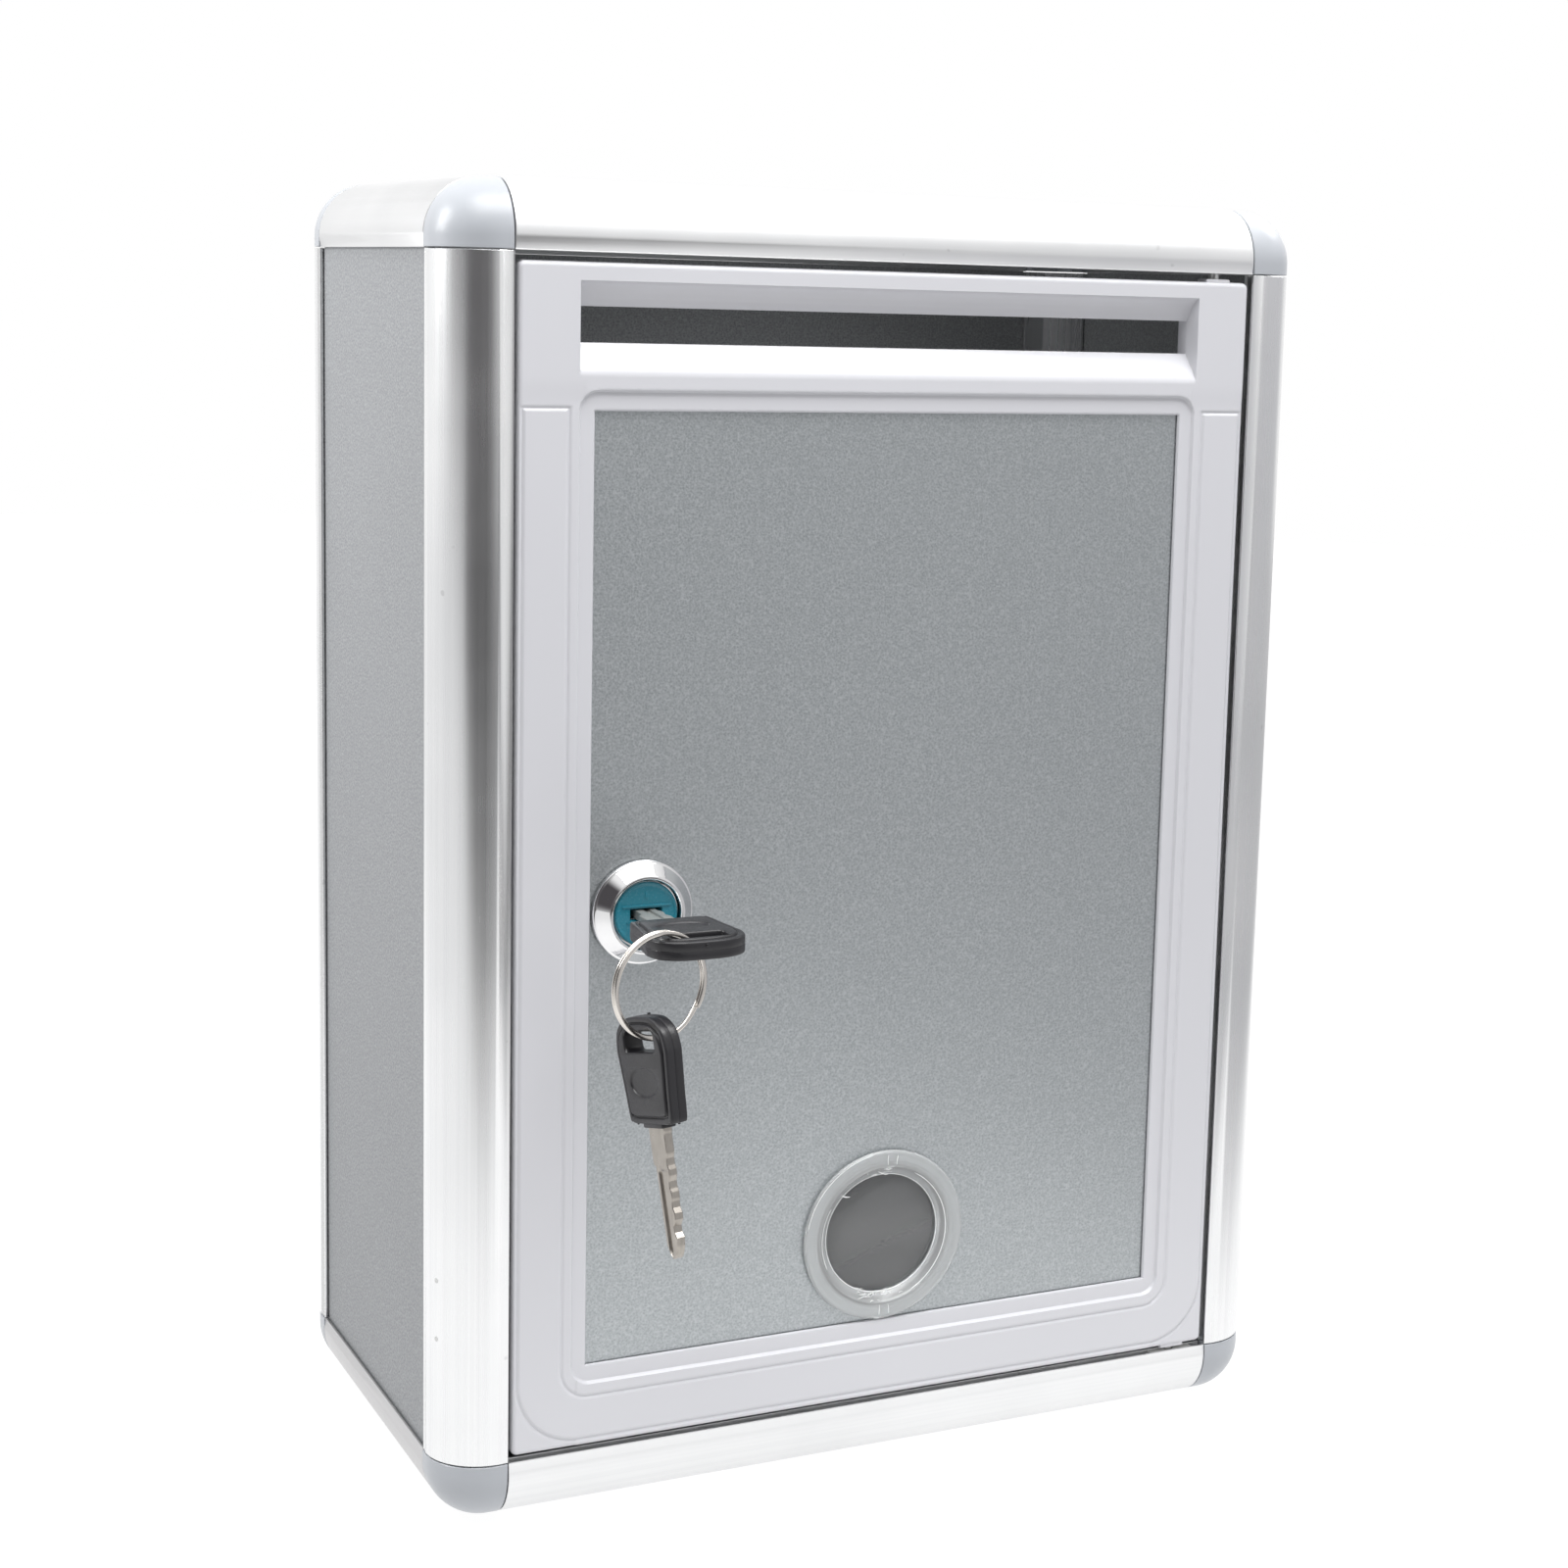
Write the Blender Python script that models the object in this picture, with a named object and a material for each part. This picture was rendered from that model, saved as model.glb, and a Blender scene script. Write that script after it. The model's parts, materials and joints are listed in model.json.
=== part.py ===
"""Suggestion box: a frame of twelve rounded aluminium extrusions and eight
corner caps, five sheet panels in the grooves, and a hinged door with a letter
slot, a round window, a cam lock and two keys on a split ring.

Metres, +Z up.  +X is to the right of someone facing the door, +Y goes into the
box.  The origin is under the middle of the box on the surface it stands on.
All the sizes below are millimetres; MM turns them into metres.
"""
import math
import bpy
import bmesh
from mathutils import Matrix, Vector
from mathutils.geometry import tessellate_polygon

MM = 0.001
GAP = 0.3              # clearance left between pieces that touch

# ---------------------------------------------------------------- the box
WIDTH, DEPTH, HEIGHT = 215.0, 118.0, 300.0
LEG = 15.4             # face width of one extrusion, outer face to seam
CORNER_R = 12.8        # rounding of every outer edge
LIP, GROOVE, INNER = 1.0, 2.1, 1.0   # outer lip, panel groove, inner lip
GROOVE_DEPTH = 6.0
BOSS, BOSS_R = 5.2, 1.4              # bore that takes a corner-cap spigot
SPIGOT_R, SPIGOT_LEN = 1.1, 11.0
SHEET = 1.5            # panel thickness
SEAM = 0.15            # half of the joint line between cap and extrusion
X0, X1 = -WIDTH / 2, WIDTH / 2
Y0, Y1 = -DEPTH / 2, DEPTH / 2
PANEL_OUT = LIP + GAP                # panel face behind the frame's face
WALL_HOLES = [(-62.0, 48.0), (62.0, 48.0), (-62.0, 252.0), (62.0, 252.0)]
WALL_HOLE_R = 2.5

# ---------------------------------------------------------------- the door
DOOR_X = 91.2          # half width
DOOR_Z0, DOOR_Z1 = 16.5, 282.6
DOOR_Y0, DOOR_Y1 = -58.5, -53.5      # front face, back edge of the skirt
DOOR_WALL = 2.4
OPEN_X = 73.5          # half width of the field the sheet shows in
OPEN_Z0, OPEN_Z1 = 35.3, 250.9
STEP_X, STEP_Z0, STEP_Z1, STEP_DEEP, STEP_R = 77.3, 31.2, 255.4, 0.9, 4.5
SHEET_X, SHEET_Z0, SHEET_Z1 = 76.5, 32.1, 254.1
SHEET_Y0 = -56.6       # front face of the door sheet
SLOT_X, SLOT_Z0, SLOT_Z1 = 77.4, 258.5, 278.7       # mouth of the slot
SLIT_X, SLIT_Z0, SLIT_Z1, SLIT_Y = 76.6, 265.4, 273.2, -54.4
SLOT_COLLAR_Y = -50.8
HINGE_X, HINGE_Y = 82.8, -55.8
PIN_R, PIN_IN, PIN_OUT = 1.3, 4.6, 6.4   # in the door, past its edge
HBLOCK_X0, HBLOCK_X1 = 76.8, 88.8
HBLOCK_Y1 = -52.6

# ---------------------------------------------------------------- window
WIN_X, WIN_Z = 1.0, 56.3
WIN_FLANGE_R, WIN_BORE_R, WIN_BARREL_R, WIN_EYE_R = 20.8, 16.2, 17.3, 14.4
WIN_Y0, WIN_Y1 = -58.1, -50.4
PANE_Y0, PANE_T = -55.4, 1.0

# ---------------------------------------------------------------- lock
LOCK_X, LOCK_Z = -61.3, 139.7
FLANGE_R, BARREL_R = 11.9, 9.3
BARREL_Y1 = -37.8
NUT_AF, NUT_T = 24.0, 3.4
CAM_T, CAM_W, CAM_REACH, CAM_LEG, CAM_ARM_Y = 1.6, 13.0, 35.8, 16.0, -53.1

# ---------------------------------------------------------------- keys
BOW_LEN, BOW_W, BOW_T, BOW_RIM_T = 23.0, 21.8, 4.8, 4.1
BOW_HOLE_W, BOW_HOLE_H, BOW_HOLE_AT = 13.0, 4.4, 5.4   # centre from the far end
DIMPLE_W, DIMPLE_H, DIMPLE_AT, DIMPLE_DEEP = 12.0, 6.4, 8.9, 0.4
BLADE_LEN, BLADE_W, BLADE_T, TANG = 28.8, 6.8, 2.0, 8.0
KEY_Y = -73.2          # where the bow of the key in the lock begins
RING_R, WIRE_R = 11.3, 0.8
RING_AT = (-70.6, -92.8, 132.15)
RING_YAW = 0.24        # the ring's plane, turned about Z from the door's
SPARE_LEAN, SPARE_YAW, SPARE_TILT = 13.7, 0.15, 0.044   # degrees, radians, radians
SPARE_AT = -2.43       # where on the ring it hangs, sideways from its lowest point


# ------------------------------------------------------------------ helpers
for o in list(bpy.data.objects):
    bpy.data.objects.remove(o, do_unlink=True)

MATERIALS = {}


def material(name, colour, rough, metal, alpha=1.0):
    if name not in MATERIALS:
        m = bpy.data.materials.new(name)
        m.use_nodes = True
        b = m.node_tree.nodes["Principled BSDF"]
        b.inputs["Base Color"].default_value = (*colour, 1.0)
        b.inputs["Roughness"].default_value = rough
        b.inputs["Metallic"].default_value = metal
        b.inputs["Alpha"].default_value = alpha
        MATERIALS[name] = m
    return MATERIALS[name]


def anodised():
    return material("anodised aluminium", (0.86, 0.87, 0.88), 0.32, 1.0)


def cap_grey():
    return material("grey-blue plastic", (0.52, 0.56, 0.61), 0.4, 0.0)


def sheet_grey():
    return material("speckled grey sheet", (0.36, 0.39, 0.40), 0.55, 0.6)


def door_white():
    return material("white plastic", (0.78, 0.77, 0.81), 0.38, 0.0)


def clear():
    return material("clear plastic", (0.8, 0.82, 0.82), 0.1, 0.0, 0.35)


def chrome():
    return material("chrome", (0.82, 0.82, 0.82), 0.08, 1.0)


def zinc():
    return material("zinc plate", (0.62, 0.63, 0.62), 0.35, 1.0)


def teal():
    return material("teal plastic", (0.03, 0.23, 0.32), 0.35, 0.0)


def black():
    return material("black plastic", (0.05, 0.05, 0.06), 0.45, 0.0)


def nickel():
    return material("nickel plate", (0.72, 0.68, 0.62), 0.25, 1.0)


def nylon():
    return material("nylon", (0.75, 0.75, 0.72), 0.5, 0.0)


def empty(name, at, parent=None):
    e = bpy.data.objects.new(name, None)
    bpy.context.scene.collection.objects.link(e)
    e.empty_display_size = 0.01
    e.location = Vector(at) * MM
    if parent is not None:
        e.parent = parent
        e.location = Vector(at) * MM - WORLD[parent.name]
    WORLD[e.name] = Vector(at) * MM
    return e


WORLD = {}


def finish(name, bm, mat, parent=None, smooth=True):
    """World-space millimetre bmesh to an object under its parent empty."""
    bmesh.ops.remove_doubles(bm, verts=bm.verts, dist=1e-5)
    bmesh.ops.recalc_face_normals(bm, faces=bm.faces)
    base = WORLD[parent.name] if parent is not None else Vector((0, 0, 0))
    for v in bm.verts:
        v.co = v.co * MM - base
    me = bpy.data.meshes.new(name)
    bm.to_mesh(me)
    bm.free()
    if mat is not None:
        me.materials.append(mat)
    if smooth:
        me.shade_smooth()
        me.set_sharp_from_angle(angle=math.radians(32))
    ob = bpy.data.objects.new(name, me)
    bpy.context.scene.collection.objects.link(ob)
    if parent is not None:
        ob.parent = parent
    return ob


def tool(name, bm, parent=None):
    """A cutter or an addition for a Boolean: kept out of the object."""
    ob = finish(name, bm, None, parent, smooth=False)
    ob.hide_render = True
    ob.display_type = "WIRE"
    return ob


def boolean(ob, other, kind):
    m = ob.modifiers.new(kind.lower() + "_" + other.name, "BOOLEAN")
    m.operation = kind
    m.solver = "EXACT"
    m.object = other
    return m


def prism(outline, holes, put, a, b):
    """Extrudes a 2-D outline with holes between a and b.  put(u, v, w) gives
    the point in millimetres."""
    bm = bmesh.new()
    loops = [outline] + list(holes)
    flat = [p for l in loops for p in l]
    tris = tessellate_polygon([[Vector((x, y, 0)) for x, y in l] for l in loops])
    low = [bm.verts.new(put(x, y, a)) for x, y in flat]
    high = [bm.verts.new(put(x, y, b)) for x, y in flat]
    for t in tris:
        bm.faces.new([low[i] for i in t])
        bm.faces.new([high[i] for i in reversed(t)])
    k = 0
    for l in loops:
        n = len(l)
        for i in range(n):
            p, q = k + i, k + (i + 1) % n
            bm.faces.new([low[p], low[q], high[q], high[p]])
        k += n
    return bm


def box(x0, x1, y0, y1, z0, z1):
    return prism([(x0, y0), (x1, y0), (x1, y1), (x0, y1)], [],
                 lambda u, v, w: (u, v, w), z0, z1)


def circle(cx, cy, r, n=32, start=0.0):
    return [(cx + r * math.cos(start + 2 * math.pi * i / n),
             cy + r * math.sin(start + 2 * math.pi * i / n)) for i in range(n)]


def round_rect(x0, x1, y0, y1, r, n=5):
    pts = []
    for cx, cy, a0 in ((x1 - r, y1 - r, 0), (x0 + r, y1 - r, 90),
                       (x0 + r, y0 + r, 180), (x1 - r, y0 + r, 270)):
        for i in range(n + 1):
            a = math.radians(a0 + 90 * i / n)
            pts.append((cx + r * math.cos(a), cy + r * math.sin(a)))
    return pts


def turned(profile, cx, cz, n=32):
    """Turns a closed profile of (radius, y) about the line x=cx, z=cz.
    A point of radius 0 becomes one vertex."""
    bm = bmesh.new()
    rings = []
    for r, y in profile:
        if r <= 1e-9:
            rings.append([bm.verts.new((cx, y, cz))])
        else:
            rings.append([bm.verts.new((cx + r * math.cos(2 * math.pi * i / n), y,
                                        cz + r * math.sin(2 * math.pi * i / n)))
                          for i in range(n)])
    closed = all(len(r) > 1 for r in rings)
    pairs = list(zip(rings, rings[1:]))
    if closed:
        pairs.append((rings[-1], rings[0]))
    for a, b in pairs:
        for i in range(n):
            j = (i + 1) % n
            if len(a) == 1 and len(b) == 1:
                break
            if len(a) == 1:
                bm.faces.new([a[0], b[i], b[j]])
            elif len(b) == 1:
                bm.faces.new([a[i], b[0], a[j]])
            else:
                bm.faces.new([a[i], b[i], b[j], a[j]])
    return bm


# ------------------------------------------------------------ extrusion frame
def section():
    """Section of the extrusion.  (0, 0) is the sharp outer corner it would
    have; both legs run to LEG.  A groove for a panel opens at each end."""
    t1, t2, t3 = LIP, LIP + GROOVE, LIP + GROOVE + INNER
    g, c = LEG - GROOVE_DEPTH, 9.6
    arc = [(CORNER_R - CORNER_R * math.sin(math.pi / 2 * i / 8),
            CORNER_R - CORNER_R * math.cos(math.pi / 2 * i / 8)) for i in range(9)]
    out = [(LEG, 0)] + arc + [(0, LEG)]
    out += [(t1, LEG), (t1, g), (t2, g), (t2, LEG), (t3, LEG), (t3, c),
            (c, t3), (LEG, t3), (LEG, t2), (g, t2), (g, t1), (LEG, t1)]
    hole = circle(BOSS, BOSS, BOSS_R, 8, math.pi / 8)
    return out, hole


def extrusion(name, place, a, b, parent):
    out, hole = section()
    return finish(name, prism(out, [hole], place, a, b), anodised(), parent)


box_frame = empty("box_frame", (0, 0, 0))
lo, hi = LEG + SEAM, None
for sx, side in ((-1, "left"), (1, "right")):
    for sy, end in ((-1, "front"), (1, "rear")):
        extrusion("column_%s_%s" % (end, side),
                  lambda u, v, w, sx=sx, sy=sy: (sx * (X1 - u), sy * (Y1 - v), w),
                  lo, HEIGHT - lo, box_frame)
rails = {}
for sz, level in ((-1, "bottom"), (1, "top")):
    for sy, end in ((-1, "front"), (1, "rear")):
        rails[level, end] = extrusion(
            "rail_%s_%s" % (level, end),
            lambda u, v, w, sz=sz, sy=sy: (w, sy * (Y1 - v), u if sz < 0 else HEIGHT - u),
            X0 + lo, X1 - lo, box_frame)
    for sx, side in ((-1, "left"), (1, "right")):
        rails[level, side] = extrusion(
            "rail_%s_%s" % (level, side),
            lambda u, v, w, sz=sz, sx=sx: (sx * (X1 - v), w, u if sz < 0 else HEIGHT - u),
            Y0 + lo, Y1 - lo, box_frame)


# ------------------------------------------------------------------ corner caps
def corner_cap_mesh():
    """One cap, its outer corner at the origin and its body towards +++ : a
    rounded cube corner, hollow inside, with a spigot for each extrusion."""
    s, R, n = LEG - SEAM, CORNER_R, 6
    steps = [R - R * math.tan(math.pi / 4 * (1 - i / n)) for i in range(n + 1)] + [s]
    bm = bmesh.new()
    seen = {}

    def corner_point(p):
        key = tuple(round(c, 5) for c in p)
        if key not in seen:
            core = Vector([max(c, R) for c in p])
            d = Vector(p) - core
            seen[key] = bm.verts.new(core + d.normalized() * R)
        return seen[key]

    for face in (lambda u, v: (0.0, u, v), lambda u, v: (v, 0.0, u),
                 lambda u, v: (u, v, 0.0)):
        for i in range(n + 1):
            for j in range(n + 1):
                u0, u1, v0, v1 = steps[i], steps[i + 1], steps[j], steps[j + 1]
                bm.faces.new([corner_point(face(*q)) for q in
                              ((u0, v0), (u1, v0), (u1, v1), (u0, v1))])
    inner = bm.verts.new((s, s, s))
    for face in (lambda u, v: (s, u, v), lambda u, v: (v, s, u), lambda u, v: (u, v, s)):
        rim = [face(s, 0.0)] + [face(steps[i], 0.0) for i in range(n, -1, -1)]
        rim += [face(0.0, steps[i]) for i in range(1, n + 1)] + [face(0.0, s)]
        bm.faces.new([corner_point(q) for q in rim] + [inner])
    cap = finish("cap_pattern", bm, cap_grey())
    cap.hide_render = True
    cap.display_type = "WIRE"
    hollow = tool("cap_hollow", box(7.4, 30, 7.4, 30, 7.4, 30))
    boolean(cap, hollow, "DIFFERENCE")
    c8 = circle(BOSS, BOSS, SPIGOT_R, 8, math.pi / 8)
    for k, put in enumerate((lambda u, v, w: (w, u, v), lambda u, v, w: (u, w, v),
                             lambda u, v, w: (u, v, w))):
        boolean(cap, tool("cap_spigot_%d" % k, prism(c8, [], put, 10.0, s + SPIGOT_LEN)),
                "UNION")
    deps = bpy.context.evaluated_depsgraph_get()
    deps.update()
    return bpy.data.meshes.new_from_object(cap.evaluated_get(deps))


pattern = corner_cap_mesh()
for sz, level in ((-1, "bottom"), (1, "top")):
    for sy, end in ((-1, "front"), (1, "rear")):
        for sx, side in ((-1, "left"), (1, "right")):
            bm = bmesh.new()
            bm.from_mesh(pattern)
            for v in bm.verts:
                p = v.co / MM
                v.co = (sx * (X1 - p.x), sy * (Y1 - p.y), p.z if sz < 0 else HEIGHT - p.z)
            finish("corner_cap_%s_%s_%s" % (level, end, side), bm, cap_grey(), box_frame)


# ------------------------------------------------------------------ sheet panels
def notched(a0, a1, b0, b1, n):
    """Rectangle with its corners cut back, to clear the corner caps."""
    return [(a0 + n, b0), (a1 - n, b0), (a1 - n, b0 + n), (a1, b0 + n), (a1, b1 - n),
            (a1 - n, b1 - n), (a1 - n, b1), (a0 + n, b1), (a0 + n, b1 - n),
            (a0, b1 - n), (a0, b0 + n), (a0 + n, b0 + n)]


edge = LEG - GROOVE_DEPTH + 0.6      # where a panel's edge lies in its groove
notch = LEG + 0.4 - edge
pa, pb = PANEL_OUT, PANEL_OUT + SHEET


def floor_sheet(outline, put):
    """A flat sheet whose outer face is set back 0.02 mm over its middle, so
    that the middle is a face of its own, clear of the grooves."""
    bm = bmesh.new()
    middle = [(-30.0, -28.0), (42.0, -28.0), (42.0, 34.0), (-30.0, 34.0)]
    outer = [bm.verts.new(put(x, y, pa)) for x, y in outline]
    inner = [bm.verts.new(put(x, y, pb)) for x, y in outline]
    patch = [bm.verts.new(put(x, y, pa + 0.02)) for x, y in middle]
    flat = outer + patch
    for t in tessellate_polygon([[Vector((x, y, 0)) for x, y in l]
                                 for l in (outline, middle)]):
        bm.faces.new([flat[i] for i in t])
    bm.faces.new(patch[:3])
    bm.faces.new([patch[0], patch[2], patch[3]])
    bm.faces.new(inner)
    n = len(outer)
    for i in range(n):
        bm.faces.new([outer[i], outer[(i + 1) % n], inner[(i + 1) % n], inner[i]])
    return bm


side_out = notched(Y0 + edge, Y1 - edge, edge, HEIGHT - edge, notch)
flat_out = notched(X0 + edge, X1 - edge, Y0 + edge, Y1 - edge, notch)
back_out = notched(X0 + edge, X1 - edge, edge, HEIGHT - edge, notch)
finish("side_panel_left", prism(side_out, [], lambda u, v, w: (X0 + w, u, v), pa, pb),
       sheet_grey(), box_frame)
finish("side_panel_right", prism(side_out, [], lambda u, v, w: (X1 - w, u, v), pa, pb),
       sheet_grey(), box_frame)
finish("bottom_panel", floor_sheet(flat_out, lambda u, v, w: (u, v, w)),
       sheet_grey(), box_frame)
finish("top_panel", prism(flat_out, [], lambda u, v, w: (u, v, HEIGHT - w), pa, pb),
       sheet_grey(), box_frame)
finish("back_panel",
       prism(back_out, [circle(x, z, WALL_HOLE_R, 16) for x, z in WALL_HOLES],
             lambda u, v, w: (u, Y1 - w, v), pa, pb), sheet_grey(), box_frame)

# ------------------------------------------------- pivot blocks in the rails
t_in = LIP + GROOVE + INNER
for sz, level in ((-1, "bottom"), (1, "top")):
    def zz(w, sz=sz):
        return w if sz < 0 else HEIGHT - w
    z_a, z_b = sorted((zz(LEG - GROOVE_DEPTH - 0.05), zz(LEG + 1)))
    boolean(rails[level, "front"],
            tool("block_notch_" + level,
                 box(HBLOCK_X0 - GAP, HBLOCK_X1 + GAP, Y0 + LIP + GROOVE - 0.05,
                     Y0 + t_in + 0.5, z_a, z_b), box_frame), "DIFFERENCE")
    z_a, z_b = sorted((zz(LEG - GROOVE_DEPTH + 0.4), zz(LEG - 0.3)))
    finish("hinge_block_" + level,
           prism([(HBLOCK_X0, Y0 + LIP + GAP), (HBLOCK_X1, Y0 + LIP + GAP),
                  (HBLOCK_X1, HBLOCK_Y1), (HBLOCK_X0, HBLOCK_Y1)],
                 [circle(HINGE_X, HINGE_Y, PIN_R + GAP, 16)],
                 lambda u, v, w: (u, v, w), z_a, z_b), nylon(), box_frame)

# ------------------------------------------------------------------ the door
hinge_line = empty("hinge_line", (HINGE_X, HINGE_Y, HEIGHT / 2))
frame = finish("door_frame",
               prism(round_rect(-DOOR_X, DOOR_X, DOOR_Z0, DOOR_Z1, 1.6, 3), [],
                     lambda u, v, w: (u, w, v), DOOR_Y0, DOOR_Y1),
               door_white(), hinge_line)


def slab(name, x0, x1, y0, y1, z0, z1, kind):
    boolean(frame, tool(name, box(x0, x1, y0, y1, z0, z1), hinge_line), kind)


# collar behind the slot and bosses round the two hinge pins
slab("slot_collar", -SLIT_X - 1.8, SLIT_X + 1.8, DOOR_Y1 - 1.0, SLOT_COLLAR_Y,
     SLIT_Z0 - 1.8, SLIT_Z1 + 1.8, "UNION")
slab("hinge_boss", HINGE_X - 3.3, HINGE_X + 3.3, HINGE_Y - 2.2, HINGE_Y + 2.2,
     DOOR_Z0 - 0.6, DOOR_Z1 + 0.7, "UNION")
# rebate for the sheet, the stepped lip in front of it, the field it shows in
slab("rebate", -SHEET_X - GAP, SHEET_X + GAP, SHEET_Y0 - GAP, DOOR_Y1 + 5,
     SHEET_Z0 - GAP, SHEET_Z1 + GAP, "DIFFERENCE")
boolean(frame, tool("lip_step",
                    prism(round_rect(-STEP_X, STEP_X, STEP_Z0, STEP_Z1, STEP_R, 4), [],
                          lambda u, v, w: (u, w, v), DOOR_Y0 - 2, DOOR_Y0 + STEP_DEEP),
                    hinge_line), "DIFFERENCE")
slab("field", -OPEN_X, OPEN_X, DOOR_Y0 - 2, DOOR_Y1 + 2, OPEN_Z0, OPEN_Z1, "DIFFERENCE")
# slot: a mouth that narrows on all four sides to the slit, then a straight way
mouth = [(-SLOT_X, SLOT_Z0), (SLOT_X, SLOT_Z0), (SLOT_X, SLOT_Z1), (-SLOT_X, SLOT_Z1)]
slit = [(-SLIT_X, SLIT_Z0), (SLIT_X, SLIT_Z0), (SLIT_X, SLIT_Z1), (-SLIT_X, SLIT_Z1)]
mid = [(0.18 * p[0] + 0.82 * q[0], 0.28 * p[1] + 0.72 * q[1]) for p, q in zip(slit, mouth)]
bm = bmesh.new()
loops = [[bm.verts.new((x, y, z)) for x, z in pts] for y, pts in
         ((DOOR_Y0 - 2, mouth), (DOOR_Y0, mouth), (-57.5, mid), (SLIT_Y, slit),
          (SLOT_COLLAR_Y + 2, slit))]
for a, b in zip(loops, loops[1:]):
    for i in range(4):
        bm.faces.new([a[i], a[(i + 1) % 4], b[(i + 1) % 4], b[i]])
bm.faces.new(loops[0])
bm.faces.new(loops[-1])
boolean(frame, tool("slot_cut", bm, hinge_line), "DIFFERENCE")
# pockets behind the stiles and the foot, so the wall is even
py0 = DOOR_Y0 + DOOR_WALL
slab("pocket_left", -DOOR_X + 1.8, -SHEET_X - 2.0, py0, DOOR_Y1 + 5,
     DOOR_Z0 + 8.0, 252.0, "DIFFERENCE")
slab("pocket_right", SHEET_X + 2.0, DOOR_X - 1.8, py0, DOOR_Y1 + 5,
     DOOR_Z0 + 8.0, 252.0, "DIFFERENCE")
slab("pocket_foot", -74.0, 74.0, py0, DOOR_Y1 + 5, DOOR_Z0 + 1.8, SHEET_Z0 - 2.0,
     "DIFFERENCE")
# snap lugs that hold the sheet from behind
for i, z in enumerate((60.0, 175.0, 235.0)):
    for s, side in ((-1, "left"), (1, "right")):
        xa, xb = sorted((s * (SHEET_X + 0.6), s * (SHEET_X - 1.6)))
        slab("lug_%s_%d" % (side, i), xa, xb, SHEET_Y0 + SHEET + GAP, DOOR_Y1,
             z - 4, z + 4, "UNION")
for i, x in enumerate((-40.0, 40.0)):
    slab("lug_foot_%d" % i, x - 5, x + 5, SHEET_Y0 + SHEET + GAP, DOOR_Y1,
         SHEET_Z0 - 0.6, SHEET_Z0 + 1.6, "UNION")
    slab("lug_head_%d" % i, x - 5, x + 5, SHEET_Y0 + SHEET + GAP, DOOR_Y1,
         SHEET_Z1 - 1.6, SHEET_Z1 + 0.6, "UNION")
for k, (za, zb) in enumerate(((DOOR_Z0 - 3, DOOR_Z0 + PIN_IN + GAP),
                              (DOOR_Z1 - PIN_IN - GAP, DOOR_Z1 + 3))):
    boolean(frame, tool("pin_hole_%d" % k,
                        prism(circle(HINGE_X, HINGE_Y, PIN_R + GAP, 16), [],
                              lambda u, v, w: (u, v, w), za, zb), hinge_line),
            "DIFFERENCE")
for level, za, zb in (("bottom", DOOR_Z0 - PIN_OUT, DOOR_Z0 + PIN_IN),
                      ("top", DOOR_Z1 - PIN_IN, DOOR_Z1 + PIN_OUT)):
    finish("hinge_pin_" + level,
           prism(circle(HINGE_X, HINGE_Y, PIN_R, 16), [], lambda u, v, w: (u, v, w),
                 za, zb), zinc(), hinge_line)

finish("door_panel",
       prism([(-SHEET_X, SHEET_Z0), (SHEET_X, SHEET_Z0), (SHEET_X, SHEET_Z1),
              (-SHEET_X, SHEET_Z1)],
             [circle(LOCK_X, LOCK_Z, BARREL_R + GAP, 32),
              circle(WIN_X, WIN_Z, WIN_BARREL_R + GAP, 40)],
             lambda u, v, w: (u, w, v), SHEET_Y0, SHEET_Y0 + SHEET),
       sheet_grey(), hinge_line)

# window: a flanged clear ring through the sheet, and the pane in its bore
fy = SHEET_Y0 - GAP
finish("window_ring",
       turned([(WIN_EYE_R, PANE_Y0 - 0.5), (WIN_BORE_R + 0.6, WIN_Y0 + 0.2),
               (WIN_BORE_R + 0.9, WIN_Y0),
               (WIN_FLANGE_R - 0.5, WIN_Y0), (WIN_FLANGE_R, WIN_Y0 + 0.5),
               (WIN_FLANGE_R, fy), (WIN_BARREL_R, fy), (WIN_BARREL_R, WIN_Y1),
               (WIN_BORE_R - 1.0, WIN_Y1), (WIN_BORE_R - 1.0, PANE_Y0 + PANE_T + GAP),
               (WIN_BORE_R, PANE_Y0 + PANE_T + GAP), (WIN_BORE_R, PANE_Y0 - GAP),
               (WIN_EYE_R, PANE_Y0 - GAP)], WIN_X, WIN_Z, 40),
       clear(), hinge_line)
finish("window_pane",
       turned([(0, PANE_Y0), (WIN_BORE_R - GAP, PANE_Y0),
               (WIN_BORE_R - GAP, PANE_Y0 + PANE_T), (0, PANE_Y0 + PANE_T)],
              WIN_X, WIN_Z, 40), clear(), hinge_line)

# lock: threaded housing with a conical front ring, and its nut
finish("lock_housing",
       turned([(7.9, -60.9), (8.3, -61.2), (8.9, -61.1), (11.5, -58.1),
               (FLANGE_R, -57.6), (FLANGE_R, fy), (BARREL_R, fy),
               (BARREL_R, BARREL_Y1), (7.3, BARREL_Y1), (7.3, -58.9), (7.9, -58.9)],
              LOCK_X, LOCK_Z, 40), chrome(), hinge_line)
hexagon = [(LOCK_X + NUT_AF / math.sqrt(3) * math.cos(math.radians(60 * i)),
            LOCK_Z + NUT_AF / math.sqrt(3) * math.sin(math.radians(60 * i)))
           for i in range(6)]
nut_y = SHEET_Y0 + SHEET + GAP
finish("lock_nut",
       prism(hexagon, [circle(LOCK_X, LOCK_Z, BARREL_R + GAP, 32)],
             lambda u, v, w: (u, w, v), nut_y, nut_y + NUT_T), zinc(), hinge_line)

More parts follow.
